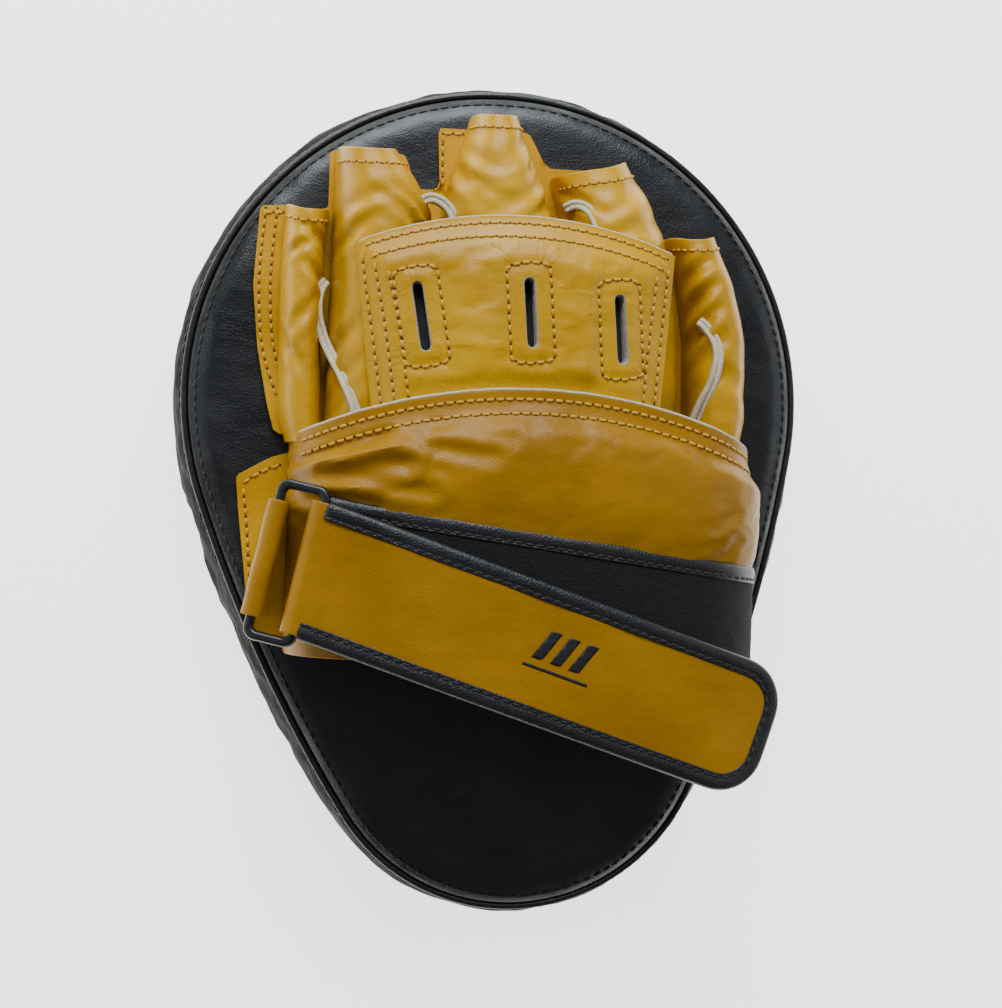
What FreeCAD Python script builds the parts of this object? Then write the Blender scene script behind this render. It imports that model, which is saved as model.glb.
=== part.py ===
import FreeCAD, Part

import math
import os

import Sketcher
from FreeCAD import Placement, Rotation, Vector

# Boxing focus mitt for the right hand, worn on the back of a thick egg-shaped pad.
# Millimetres. +Z up, +Y towards the finger tips, thumb towards -X.
# The mitt lies on its striking face, and the origin is on that face under the pad's middle.

SIZES = {
    # pad: an egg of four tangent arcs, with rounded edges
    "pad_top_radius": 102,
    "pad_bottom_radius": 66.5,
    "pad_side_radius": 480,
    "pad_centres": 100,
    "pad_place_x": -5.6,
    "pad_place_y": 34,
    "pad_turn": 5.4,
    "pad_height": 46,
    "pad_front_round": 16,
    "pad_back_round": 12,
    "pad_leather": 1.8,
    "front_seam": 5,
    "back_seam": 40.5,
    "welt_thickness": 1.4,
    "welt_reach": 1.2,
    "foam_front_top": 14,
    "foam_middle_top": 30,
    # glove leather
    "leather": 1.7,
    "palm_leather": 1.8,
    # the arch over the hand, and the depth of each layer under its outer surface
    "arch_middle": 1.5,
    "arch_half_width": 73.5,
    "arch_top": 84.5,
    "arch_top_radius": 300,
    "arch_corner_radius": 24,
    "hand_back_panel_from": 0,
    "hand_back_panel_to": 1.7,
    "hand_back_padding_from": 1.8,
    "hand_back_padding_to": 6.3,
    "hand_back_lining_from": 6.4,
    "hand_back_lining_to": 7.4,
    "knuckle_panel_from": 1.9,
    "knuckle_panel_to": 3.6,
    "knuckle_padding_from": 3.7,
    "knuckle_padding_to": 6.7,
    "knuckle_lining_from": 6.8,
    "knuckle_lining_to": 7.8,
    "strap_run_from": -2.0,
    "strap_run_to": -0.4,
    "loop_tape_from": -3.1,
    "loop_tape_to": -2.0,
    "run_binding_from": -3.3,
    "run_binding_to": -0.3,
    # plan of the hand-back and of the knuckle panel
    "wrist_y": -48,
    "hand_back_crest_y": 36,
    "hand_back_edge_radius": 176,
    "hand_back_hem": 8,
    "knuckle_crest_y": 89.6,
    "knuckle_edge_radius": 140,
    "slot_length": 22,
    "slot_width": 4,
    # strap, ring and the flap that folds back over the strap
    "strap_width": 42,
    "binding_width": 5.5,
    "run_turn": -7.4,
    "run_start_x": -62,
    "run_start_y": -20,
    "flap_turn": -18.7,
    "flap_length": 152,
    "flap_tip_radius": 14,
    "flap_root_gap": 5.4,
    "flap_bottom": 89.4,
    "flap_radius": 330,
    "hook_from": 0,
    "hook_to": 1.0,
    "flap_leather_from": 1.0,
    "flap_leather_to": 2.8,
    "flap_binding_from": 0,
    "flap_binding_to": 3.3,
    "hook_start": 66,
    "ring_turn": -12,
    "ring_span": 14,
    "ring_length": 50,
    "ring_wire": 3,
    "ring_bar_x": -66.4,
    "ring_bar_y": -20.5,
    "ring_bar_z": 82,
    "ring_drop": 4.5,
    "fold_length": 40,
    "fold_thickness": 3,
    "fold_clearance": 0.2,
    "tab_length": 32,
    "tab_round": 3.3,
    "tab_thickness": 3.2,
    "tab_clearance": 0.5,
}

# Each finger's sleeve is an arch that runs from its root to a waist and narrows to its open tip.
# Each section: middle x, y, width, height.
SLEEVES = {
    "thumb": {
        "root": (-70.4, 26, 13.6, 17),
        "waist": (-70.0, 60, 13.4, 16.4),
        "tip": (-69.4, 92.5, 12.8, 15),
    },
    "index": {
        "root": (-45.2, 34, 31.2, 24),
        "waist": (-45.2, 92, 31.2, 24),
        "tip": (-50.5, 112, 18, 21),
    },
    "middle": {
        "root": (-8.2, 50, 36.4, 27.4),
        "waist": (-8.2, 92, 36.4, 27.4),
        "tip": (-9, 124, 17.6, 24),
    },
    "ring_finger": {
        "root": (32.6, 50, 38.6, 25.6),
        "waist": (29.6, 84, 32.6, 25.6),
        "tip": (22.5, 110, 21, 21),
    },
    "little": {
        "root": (65, 30, 18.4, 21),
        "waist": (63.6, 60, 18.8, 21),
        "tip": (55.4, 89, 15.2, 17),
    },
}
SECTIONS = ("root", "waist", "tip")
for finger, sections in SLEEVES.items():
    for section, values in sections.items():
        for quantity, value in zip(("x", "y", "width", "height"), values):
            SIZES[f"{finger}_{section}_{quantity}"] = value

doc = FreeCAD.newDocument("focus_mitt")
dims = doc.addObject("Spreadsheet::Sheet", "dims")
for row, (alias, value) in enumerate(SIZES.items(), start=1):
    dims.set(f"A{row}", alias)
    dims.set(f"B{row}", str(value))
    dims.setAlias(f"B{row}", alias)
doc.recompute()

REACH = 400  # longer than the mitt in every direction, for the bodies that only trim others
nodes = {}


def size(alias):
    return float(dims.get(alias))


# ---- document helpers ----


def add_node(name, piece):
    piece.Label = name
    nodes[name] = piece
    return piece


def new_body(name, base=(0, 0, 0), turn=0, lift=None):
    """A body placed at base and turned about Z; lift is the sheet formula for its height."""
    body = doc.addObject("PartDesign::Body", name)
    body.Placement = Placement(Vector(*base), Rotation(Vector(0, 0, 1), turn))
    if lift:
        body.setExpression("Placement.Base.z", lift)
    return body


def new_sketch(body, role, offset=None):
    """A sketch on one of the body's own origin planes; offset is a sheet formula."""
    sketch = body.newObject("Sketcher::SketchObject", f"{body.Name}_sketch")
    plane = next(p for p in body.Origin.OriginFeatures if p.Role == role)
    sketch.AttachmentSupport = (plane, [""])
    sketch.MapMode = "FlatFace"
    if offset:
        sketch.setExpression("AttachmentOffset.Base.z", offset)
    return sketch


def line(start, end):
    return Part.LineSegment(Vector(*start, 0), Vector(*end, 0))


def arc(start, through, end):
    return Part.Arc(Vector(*start, 0), Vector(*through, 0), Vector(*end, 0))


def end_at(sketch, index, point):
    """Which end of a sketch element lies on a point: 1 its start, 2 its end."""
    gaps = [sketch.getPoint(index, end).distanceToPoint(point) for end in (1, 2)]
    return 1 + gaps.index(min(gaps))


def draw_loop(sketch, edges, radii=None):
    """Adds a closed loop of lines and arcs, joined end to end and tangent where they run on.

    radii names the sheet formula that drives the radius of an arc, by its place in the loop."""
    first = sketch.GeometryCount
    for edge in edges:
        sketch.addGeometry(edge, False)
    count = len(edges)
    for place, edge in enumerate(edges):
        joint = edge.value(edge.LastParameter)
        after = edges[(place + 1) % count]
        bend = edge.tangent(edge.LastParameter)[0].getAngle(after.tangent(after.FirstParameter)[0])
        kind = "Tangent" if bend < 0.001 else "Coincident"
        here = first + place
        there = first + (place + 1) % count
        ends = (here, end_at(sketch, here, joint), there, end_at(sketch, there, joint))
        sketch.addConstraint(Sketcher.Constraint(kind, *ends))
    for place, formula in (radii or {}).items():
        radius = sketch.Geometry[first + place].Radius
        index = sketch.addConstraint(Sketcher.Constraint("Radius", first + place, radius))
        sketch.setExpression(f"Constraints[{index}]", formula)


def pad_sketch(body, sketch, length, midplane=False):
    pad = body.newObject("PartDesign::Pad", f"{body.Name}_pad")
    pad.Profile = sketch
    pad.Midplane = midplane
    pad.setExpression("Length", length)
    sketch.Visibility = False
    return pad


def round_edges(body, wanted, radius, formula):
    """Rounds the edges of a body's last feature whose bounding boxes are wanted."""
    doc.recompute()
    base = body.Tip
    names = [f"Edge{n}" for n, edge in enumerate(base.Shape.Edges, start=1) if wanted(edge.BoundBox)]
    fillet = body.newObject("PartDesign::Fillet", f"{body.Name}_round")
    fillet.Base = (base, names)
    fillet.Radius = radius
    fillet.setExpression("Radius", formula)


def polygon(points):
    return [line(a, b) for a, b in zip(points, points[1:] + points[:1])]


def flat_piece(name, points, lift, thickness):
    """A sheet that lies flat, cut to a plan of straight edges."""
    body = new_body(name, lift=lift)
    sketch = new_sketch(body, "XY_Plane")
    draw_loop(sketch, polygon(points))
    pad_sketch(body, sketch, thickness)
    return add_node(name, body)


def boolean(kind, name, base, tool):
    piece = doc.addObject(f"Part::{kind}", name)
    piece.Base = base
    piece.Tool = tool
    return piece


def common(name, base, tool):
    return boolean("Common", name, base, tool)


def cut(name, base, tool):
    return boolean("Cut", name, base, tool)


def slab(name, low, high):
    """A box far wider than the mitt between two heights, given as sheet formulas."""
    box = doc.addObject("Part::Box", name)
    box.Length = REACH
    box.Width = REACH
    box.setExpression("Height", f"({high}) - ({low})")
    box.Placement.Base = Vector(-REACH / 2, -REACH / 2, 0)
    box.setExpression("Placement.Base.z", low)
    return box


# ---- pad ----


def egg(inset):
    """The pad's outline, set in by a distance: top, left, bottom and right arcs, tangent."""
    top = size("pad_top_radius") - inset
    bottom = size("pad_bottom_radius") - inset
    side = size("pad_side_radius") - inset
    centres = size("pad_centres")
    to_top = side - top
    to_bottom = side - bottom
    rise = (to_bottom**2 - to_top**2 - centres**2) / (2 * centres)
    run = math.sqrt(to_top**2 - rise**2)
    high = math.atan2(-rise, run)
    low = math.atan2(-centres - rise, run)

    def on(centre_x, centre_y, radius, angle):
        return (centre_x + radius * math.cos(angle), centre_y + radius * math.sin(angle))

    right_high = on(0, 0, top, high)
    left_high = (-right_high[0], right_high[1])
    right_low = on(0, -centres, bottom, low)
    left_low = (-right_low[0], right_low[1])
    right_side = on(-run, rise, side, (high + low) / 2)
    left_side = (-right_side[0], right_side[1])
    return [
        arc(right_high, (0, top), left_high),
        arc(left_high, left_side, left_low),
        arc(left_low, (0, -centres - bottom), right_low),
        arc(right_low, right_side, right_high),
    ]


def egg_body(name, inset, inset_formula, lift, height):
    place = (size("pad_place_x"), size("pad_place_y"), 0)
    body = new_body(name, place, size("pad_turn"), lift)
    sketch = new_sketch(body, "XY_Plane")
    radii = {
        0: f"dims.pad_top_radius - ({inset_formula})",
        1: f"dims.pad_side_radius - ({inset_formula})",
        2: f"dims.pad_bottom_radius - ({inset_formula})",
    }
    draw_loop(sketch, egg(inset), radii)
    pad_sketch(body, sketch, height)
    return body


def rounded_egg(name, inset, lift, height, front, back):
    inset_formula = "dims.pad_leather" if inset else "0"
    body = egg_body(name, inset, inset_formula, lift, height)
    round_edges(body, lambda box: box.ZMax < 0.01, front, f"dims.pad_front_round - {inset_formula}")
    round_edges(body, lambda box: box.ZMin > 20, back, f"dims.pad_back_round - {inset_formula}")
    return body


def seam_inset(height_from_face, round_radius):
    """How far the rounded edge has drawn in at a height above its own face."""
    rest = round_radius - height_from_face
    return round_radius - math.sqrt(round_radius**2 - rest**2)


def seam_welt(side, height_from_face, height_formula, core):
    """A thin leather strip let into a pad seam, standing a little out of it."""
    name = f"{side}_seam_welt"
    inset = seam_inset(height_from_face, size(f"pad_{side}_round")) - size("welt_reach")
    radius = f"dims.pad_{side}_round"
    formula = f"{radius} - sqrt({radius}^2 - ({radius} - ({height_formula}))^2) - dims.welt_reach"
    ring = egg_body(f"{name}_ring", inset, formula, f"dims.{side}_seam", "dims.welt_thickness")
    add_node(name, cut(name, ring, core))


def build_pad():
    leather = size("pad_leather")
    front = size("pad_front_round")
    back = size("pad_back_round")
    outer = rounded_egg("pad_outside", 0, "0", "dims.pad_height", front, back)
    inner_height = "dims.pad_height - 2 * dims.pad_leather"
    core = rounded_egg("pad_core", leather, "dims.pad_leather", inner_height, front - leather, back - leather)
    shell = cut("pad_shell", outer, core)

    front_top = "dims.front_seam + dims.welt_thickness"
    back_top = "dims.back_seam + dims.welt_thickness"
    covers = {
        "striking_face": ("-1", "dims.front_seam"),
        "side_gusset": (front_top, "dims.back_seam"),
        "back_panel": (back_top, "dims.pad_height + 1"),
    }
    for name, (low, high) in covers.items():
        add_node(name, common(name, shell, slab(f"{name}_slab", low, high)))

    foams = {
        "foam_front_firm": ("0", "dims.foam_front_top"),
        "foam_middle": ("dims.foam_front_top", "dims.foam_middle_top"),
        "foam_back_soft": ("dims.foam_middle_top", "dims.pad_height"),
    }
    for name, (low, high) in foams.items():
        add_node(name, common(name, core, slab(f"{name}_slab", low, high)))

    half = size("welt_thickness") / 2
    front_height = size("front_seam") + half
    back_height = size("pad_height") - size("back_seam") - half
    seam_welt("front", front_height, "dims.front_seam + dims.welt_thickness / 2", core)
    seam_welt("back", back_height, "dims.pad_height - dims.back_seam - dims.welt_thickness / 2", core)


# ---- glove: flat pieces ----

FLOOR = "dims.pad_height + dims.palm_leather"


def build_flat_pieces():
    left = size("arch_middle") - size("arch_half_width")
    right = size("arch_middle") + size("arch_half_width")
    wrist = size("wrist_y")
    sleeve_left = -77.4
    palm = [
        (left, wrist),
        (right, wrist),
        (right, 34),
        (66, 78),
        (60, 89),
        (46, 89),
        (33, 110),
        (8, 110),
        (2, 121),
        (-27.5, 121),
        (-27.5, 101),
        (-34, 101),
        (-38, 112),
        (-62, 112),
        (-62, 93),
        (sleeve_left, 93),
        (sleeve_left, 26),
        (left, 20),
    ]
    flat_piece("palm_panel", palm, "dims.pad_height", "dims.palm_leather")
    strip = [(-83.5, 93), (-85, 68), (-83, 48), (-79.4, 30), (sleeve_left - 0.2, 24), (sleeve_left - 0.2, 93)]
    flat_piece("thumb_strip", strip, "dims.pad_height", "2 * dims.leather")
    wing_right = left - 0.4
    wing = [(-88.4, 7.3), (-82.5, wrist + 2), (wing_right, wrist + 2), (wing_right, 15), (-78, 13.5)]
    flat_piece("cuff_wing", wing, "dims.pad_height", "dims.leather")


def build_finger_welts():
    """Raw leather strips that stand in the seams between two sleeves."""
    welts = {
        "welt_thumb_index": ((-63.1, 28), (-63.1, 70), 19),
        "welt_index_middle": ((-29.1, 58), (-29.1, 96), 22),
        "welt_middle_ring": ((10.6, 58), (10.6, 92), 23),
        "welt_ring_little": ((53.7, 32), (52.1, 60), 20),
    }
    thickness = 1.9
    for name, ((low_x, low_y), (high_x, high_y), height) in welts.items():
        points = [(low_x, low_y), (low_x + thickness, low_y), (high_x + thickness, high_y), (high_x, high_y)]
        flat_piece(name, points, FLOOR, str(height))


# ---- glove: finger sleeves ----


def sleeve_section(body, finger, section, inner):
    """An arch of two upright sides and a half circle, at one section of the sleeve."""
    wall = size("leather") if inner else 0
    below = 1 if inner else 0
    middle = size(f"{finger}_{section}_x")
    half = size(f"{finger}_{section}_width") / 2 - wall
    height = size(f"{finger}_{section}_height") - wall
    shoulder = height - half
    sketch = new_sketch(body, "XZ_Plane", f"-dims.{finger}_{section}_y")
    left = middle - half
    right = middle + half
    edges = [
        line((left, -below), (right, -below)),
        line((right, -below), (right, shoulder)),
        arc((right, shoulder), (middle, height), (left, shoulder)),
        line((left, shoulder), (left, -below)),
    ]
    wall_formula = "dims.leather" if inner else "0"
    draw_loop(sketch, edges, {2: f"dims.{finger}_{section}_width / 2 - {wall_formula}"})
    return sketch


def build_sleeve(finger):
    body = new_body(f"{finger}_sleeve", lift=FLOOR)
    for kind, inner in (("AdditiveLoft", False), ("SubtractiveLoft", True)):
        root, waist, tip = (sleeve_section(body, finger, section, inner) for section in SECTIONS)
        doc.recompute()
        loft = body.newObject(f"PartDesign::{kind}", f"{finger}_{kind}")
        loft.Profile = root
        loft.Sections = [waist, tip]
        loft.Ruled = True
        doc.recompute()
    add_node(f"{finger}_sleeve", body)


# ---- glove: layers over the hand ----


def arch_path(depth, floor):
    """The arch's line at a depth under its outer surface, from its left foot to its right."""
    middle = size("arch_middle")
    half = size("arch_half_width") - depth
    corner = size("arch_corner_radius") - depth
    top_radius = size("arch_top_radius") - depth
    top = size("arch_top") - depth
    corner_x = half - corner
    lift = math.sqrt((top_radius - corner) ** 2 - corner_x**2)
    shoulder = top - top_radius + lift
    lean = math.atan2(corner_x, lift)
    meet_x = corner_x + corner * math.sin(lean)
    meet_z = shoulder + corner * math.cos(lean)
    bend = (math.pi / 2 + lean) / 2
    bend_x = corner_x + corner * math.sin(bend)
    bend_z = shoulder + corner * math.cos(bend)
    return [
        line((middle - half, floor), (middle - half, shoulder)),
        arc((middle - half, shoulder), (middle - bend_x, bend_z), (middle - meet_x, meet_z)),
        arc((middle - meet_x, meet_z), (middle, top), (middle + meet_x, meet_z)),
        arc((middle + meet_x, meet_z), (middle + bend_x, bend_z), (middle + half, shoulder)),
        line((middle + half, shoulder), (middle + half, floor)),
    ]


def reversed_edge(edge):
    if isinstance(edge, Part.LineSegment):
        return Part.LineSegment(edge.EndPoint, edge.StartPoint)
    middle = edge.value((edge.FirstParameter + edge.LastParameter) / 2)
    return Part.Arc(edge.EndPoint, middle, edge.StartPoint)


def band_between(outer, inner):
    """A closed loop from one line of edges out and another back."""
    back = [reversed_edge(edge) for edge in reversed(inner)]
    joins = [
        Part.LineSegment(outer[-1].EndPoint, back[0].StartPoint),
        Part.LineSegment(back[-1].EndPoint, outer[0].StartPoint),
    ]
    return outer + joins[:1] + back + joins[1:]


def arch_layer(name, floor):
    """A layer of the arch, long enough along Y to be cut to a plan."""
    shallow = size(f"{name}_from")
    deep = size(f"{name}_to")
    body = new_body(f"{name}_arch")
    sketch = new_sketch(body, "XZ_Plane")
    loop = band_between(arch_path(shallow, floor), arch_path(deep, floor))
    radii = {
        1: f"dims.arch_corner_radius - dims.{name}_from",
        2: f"dims.arch_top_radius - dims.{name}_from",
        7: f"dims.arch_corner_radius - dims.{name}_to",
        8: f"dims.arch_top_radius - dims.{name}_to",
    }
    draw_loop(sketch, loop, radii)
    pad_sketch(body, sketch, str(REACH), midplane=True)
    return body


def plan_body(name, loops):
    """An upright prism over a plan of one outer loop and any holes in it."""
    body = new_body(name)
    sketch = new_sketch(body, "XY_Plane")
    for loop in loops:
        draw_loop(sketch, loop)
    pad_sketch(body, sketch, str(REACH))
    return body


def crest_arc(middle, crest, radius, left, right):
    """An arc that peaks at a crest and falls away to x = right and x = left, drawn leftwards."""

    def drop(x):
        return crest - radius + math.sqrt(radius**2 - (x - middle) ** 2)

    return arc((right, drop(right)), (middle, crest), (left, drop(left)))


def hand_back_plan(name, hem, wrist):
    middle = size("arch_middle")
    left = middle - size("arch_half_width") - 5
    right = middle + size("arch_half_width") + 5
    crest = size("hand_back_crest_y") - hem
    top = crest_arc(middle, crest, size("hand_back_edge_radius") - hem, left, right)
    edges = [
        line((left, wrist), (right, wrist)),
        line((right, wrist), (right, top.StartPoint.y)),
        top,
        line((left, top.EndPoint.y), (left, wrist)),
    ]
    return plan_body(name, [edges])


def slot_loop(middle_x, middle_y, lean):
    """A round-ended slot that stands along Y, leaning sideways by an angle."""
    radius = size("slot_width") / 2
    reach = size("slot_length") / 2 - radius
    turn = math.radians(lean)

    def at(along, across):
        x = middle_x + along * math.sin(turn) + across * math.cos(turn)
        y = middle_y + along * math.cos(turn) - across * math.sin(turn)
        return (x, y)

    return [
        line(at(-reach, radius), at(reach, radius)),
        arc(at(reach, radius), at(reach + radius, 0), at(reach, -radius)),
        line(at(reach, -radius), at(-reach, -radius)),
        arc(at(-reach, -radius), at(-reach - radius, 0), at(-reach, radius)),
    ]


def knuckle_plan(name, slots):
    middle = size("arch_middle")
    top_middle = -4.5
    top_left = -56.6
    top_right = 46
    bottom_left = -48.5
    bottom_right = 42
    top = crest_arc(top_middle, size("knuckle_crest_y"), size("knuckle_edge_radius"), top_left, top_right)
    hem = size("hand_back_hem") - 0.5
    crest = size("hand_back_crest_y") - hem
    radius = size("hand_back_edge_radius") - hem
    bottom = crest_arc(middle, crest, radius, bottom_left, bottom_right)
    edges = [
        reversed_edge(bottom),
        Part.LineSegment(bottom.StartPoint, top.StartPoint),
        top,
        Part.LineSegment(top.EndPoint, bottom.EndPoint),
    ]
    return plan_body(name, [edges] + slots)


def build_hand_layers():
    floor = size("pad_height") + size("palm_leather")
    wrist = size("wrist_y")
    panel_plan = hand_back_plan("hand_back_panel_plan", 0, wrist)
    inner_plan = hand_back_plan("hand_back_inner_plan", size("hand_back_hem"), wrist + 3)
    slots = [slot_loop(-34.8, 57.2, -10), slot_loop(-1.4, 59.5, -5), slot_loop(27.4, 55.8, -5)]
    slotted_plan = knuckle_plan("slotted_knuckle_plan", slots)
    plans = {
        "hand_back_panel": panel_plan,
        "hand_back_padding": inner_plan,
        "hand_back_lining": inner_plan,
        "knuckle_panel": slotted_plan,
        "knuckle_padding": slotted_plan,
        "knuckle_lining": knuckle_plan("knuckle_lining_plan", []),
    }
    for name, plan in plans.items():
        add_node(name, common(name, arch_layer(name, floor), plan))


# ---- strap ----


def turned(origin, angle, along, across):
    """A plan point at a distance along a direction and across it, from an origin."""
    turn = math.radians(angle)
    x = origin[0] + along * math.cos(turn) - across * math.sin(turn)
    y = origin[1] + along * math.sin(turn) + across * math.cos(turn)
    return (x, y)


def run_band(low, high):
    """The plan of a lengthwise band of the strap's lower run, between two offsets across it."""
    start = (size("run_start_x"), size("run_start_y"))
    angle = size("run_turn")
    length = 170
    lean = math.tan(math.radians(angle - size("ring_turn")))
    points = [
        turned(start, angle, -low * lean, low),
        turned(start, angle, length, low),
        turned(start, angle, length, high),
        turned(start, angle, -high * lean, high),
    ]
    return polygon(points)


def build_strap_run():
    foot = size("pad_height") + 0.3
    half = size("strap_width") / 2
    edge = half - size("binding_width")
    middle_plan = plan_body("run_middle_plan", [run_band(-edge, edge)])
    for name in ("strap_run", "loop_tape"):
        add_node(name, common(name, arch_layer(name, foot), middle_plan))
    binding = arch_layer("run_binding", foot)
    sides = {"run_binding_upper": (edge, half), "run_binding_lower": (-half, -edge)}
    for name, (low, high) in sides.items():
        add_node(name, common(name, binding, plan_body(f"{name}_plan", [run_band(low, high)])))


def bar_point(along, across):
    """A plan point measured from the middle of the ring's strap bar, square to that bar."""
    return turned((size("ring_bar_x"), size("ring_bar_y")), size("ring_turn"), along, across)


def flap_outline(inset, start_gap, end_inset):
    """The flap's plan: cut off beside the ring bar, straight edges and a rounded tip."""
    bar = (size("ring_bar_x"), size("ring_bar_y"))
    angle = size("flap_turn")
    skew = math.radians(size("ring_turn") - angle)
    half = size("strap_width") / 2 - inset
    length = size("flap_length") - end_inset
    corner = size("flap_tip_radius") - inset
    gap = start_gap / math.cos(skew)
    slant = math.tan(skew)

    def at(along, across):
        return turned(bar, angle, along, across)

    short = corner * (1 - math.sqrt(0.5))
    root_low = at(gap + half * slant, -half)
    root_high = at(gap - half * slant, half)
    return [
        line(root_low, at(length - corner, -half)),
        arc(at(length - corner, -half), at(length - short, short - half), at(length, corner - half)),
        line(at(length, corner - half), at(length, half - corner)),
        arc(at(length, half - corner), at(length - short, half - short), at(length - corner, half)),
        line(at(length - corner, half), root_high),
        line(root_high, root_low),
    ]


def flap_layer(name):
    """A layer of the flap, bent to a wide arc over the hand."""
    middle = size("arch_middle")
    centre = size("flap_bottom") - size("flap_radius")
    low = size("flap_radius") + size(f"{name}_from")
    high = size("flap_radius") + size(f"{name}_to")
    body = new_body(f"{name}_arc")
    sketch = new_sketch(body, "XZ_Plane")
    spread = math.radians(20)

    def at(radius, angle):
        return (middle + radius * math.sin(angle), centre + radius * math.cos(angle))

    loop = [
        arc(at(high, -spread), at(high, 0), at(high, spread)),
        line(at(high, spread), at(low, spread)),
        arc(at(low, spread), at(low, 0), at(low, -spread)),
        line(at(low, -spread), at(high, -spread)),
    ]
    radii = {0: f"dims.flap_radius + dims.{name}_to", 2: f"dims.flap_radius + dims.{name}_from"}
    draw_loop(sketch, loop, radii)
    pad_sketch(body, sketch, str(REACH), midplane=True)
    return body


def build_flap():
    gap = size("flap_root_gap")
    edge = size("binding_width")
    inner_plan = plan_body("flap_inner_plan", [flap_outline(edge, gap, edge)])
    outer_plan = plan_body("flap_outer_plan", [flap_outline(0, gap, 0)])
    hook_plan = plan_body("hook_plan", [flap_outline(edge, size("hook_start"), edge)])
    frame_plan = cut("flap_frame_plan", outer_plan, inner_plan)
    add_node("flap_leather", common("flap_leather", flap_layer("flap_leather"), inner_plan))
    add_node("hook_patch", common("hook_patch", flap_layer("hook"), hook_plan))
    add_node("flap_binding", common("flap_binding", flap_layer("flap_binding"), frame_plan))


# ---- ring, its tab and the strap's fold round it ----


def ring_tilt():
    return math.degrees(math.asin(size("ring_drop") / size("ring_span")))


def rounded_rectangle(left, right, low, high, corner):
    short = corner * (1 - math.sqrt(0.5))
    return [
        line((left + corner, low), (right - corner, low)),
        arc((right - corner, low), (right - short, low + short), (right, low + corner)),
        line((right, low + corner), (right, high - corner)),
        arc((right, high - corner), (right - short, high - short), (right - corner, high)),
        line((right - corner, high), (left + corner, high)),
        arc((left + corner, high), (left + short, high - short), (left, high - corner)),
        line((left, high - corner), (left, low + corner)),
        arc((left, low + corner), (left + short, low + short), (left + corner, low)),
    ]


def bar_placement(tilt):
    """At the middle of the strap bar: X away from the tab, Y along the bar."""
    place = Vector(size("ring_bar_x"), size("ring_bar_y"), size("ring_bar_z"))
    turn = Rotation(Vector(0, 0, 1), size("ring_turn"))
    return Placement(place, turn.multiply(Rotation(Vector(0, 1, 0), -tilt)))


def build_ring():
    wire = size("ring_wire")
    half = wire / 2
    span = size("ring_span")
    reach = size("ring_length") / 2
    body = doc.addObject("PartDesign::Body", "strap_ring")
    body.Placement = bar_placement(ring_tilt())
    sketch = new_sketch(body, "XY_Plane")
    draw_loop(sketch, rounded_rectangle(-span - half, half, -reach, reach, 4))
    draw_loop(sketch, rounded_rectangle(half - span, -half, wire - reach, reach - wire, 1.5))
    pad_sketch(body, sketch, "dims.ring_wire", midplane=True)
    round_edges(body, lambda box: box.ZLength < 0.01, wire * 0.4, "dims.ring_wire * 0.4")
    add_node("strap_ring", body)


def build_fold():
    """The strap where it turns back round the ring's bar: half a tube."""
    inner = size("ring_wire") / 2 + size("fold_clearance")
    outer = inner + size("fold_thickness")
    body = doc.addObject("PartDesign::Body", "strap_fold")
    body.Placement = bar_placement(0)
    sketch = new_sketch(body, "XZ_Plane")
    loop = [
        arc((0, outer), (-outer, 0), (0, -outer)),
        line((0, -outer), (0, -inner)),
        arc((0, -inner), (-inner, 0), (0, inner)),
        line((0, inner), (0, outer)),
    ]
    draw_loop(sketch, loop)
    pad_sketch(body, sketch, "dims.fold_length", midplane=True)
    add_node("strap_fold", body)


def tab_middle():
    """The middle of the ring's other bar, held in the leather tab."""
    tilt = math.radians(ring_tilt())
    flat = size("ring_span") * math.cos(tilt)
    x, y = bar_point(-flat, 0)
    return Vector(x, y, size("ring_bar_z") - size("ring_drop"))


def build_tab():
    """Leather doubled round the ring's bar, its two plies sewn together down to the wing."""
    middle = tab_middle()
    head = size("tab_round")
    half = size("tab_thickness") / 2
    hole = size("ring_wire") / 2 + size("tab_clearance")
    foot = size("pad_height") + size("leather") - middle.z
    neck = -math.sqrt(head**2 - half**2)
    body = doc.addObject("PartDesign::Body", "ring_tab")
    body.Placement = Placement(middle, Rotation(Vector(0, 0, 1), size("ring_turn")))
    sketch = new_sketch(body, "XZ_Plane")
    outline = [
        line((-half, foot), (half, foot)),
        line((half, foot), (half, neck)),
        arc((half, neck), (0, head), (-half, neck)),
        line((-half, neck), (-half, foot)),
    ]
    draw_loop(sketch, outline, {2: "dims.tab_round"})
    circle = Part.Circle(Vector(0, 0, 0), Vector(0, 0, 1), hole)
    index = sketch.addGeometry(circle, False)
    radius = sketch.addConstraint(Sketcher.Constraint("Radius", index, hole))
    sketch.setExpression(f"Constraints[{radius}]", "dims.ring_wire / 2 + dims.tab_clearance")
    pad_sketch(body, sketch, "dims.tab_length", midplane=True)
    add_node("ring_tab", body)


# ---- the whole mitt ----

build_pad()
build_flat_pieces()
for finger in SLEEVES:
    build_sleeve(finger)
build_finger_welts()
build_hand_layers()
build_strap_run()
build_flap()
build_ring()
build_fold()
build_tab()
doc.recompute()

for piece in doc.Objects:
    if "Invalid" in piece.State or "Error" in piece.State:
        raise RuntimeError(f"{piece.Label} failed: {piece.State}")
for name, piece in nodes.items():
    if piece.Shape.isNull() or not piece.Shape.isValid() or not piece.Shape.Solids:
        raise RuntimeError(f"{name} has no valid solid")

os.makedirs("parts", exist_ok=True)
for name, piece in nodes.items():
    piece.Shape.exportStep(f"parts/{name}.step")
    print(name, len(piece.Shape.Solids), "solid", round(piece.Shape.Volume), "mm3")
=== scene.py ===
"""A leather boxing focus mitt, lying on its striking face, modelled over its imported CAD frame."""

import math
import random

import bmesh
import bpy
import numpy as np
from mathutils import Matrix, Vector, noise
from mathutils.bvhtree import BVHTree


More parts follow.
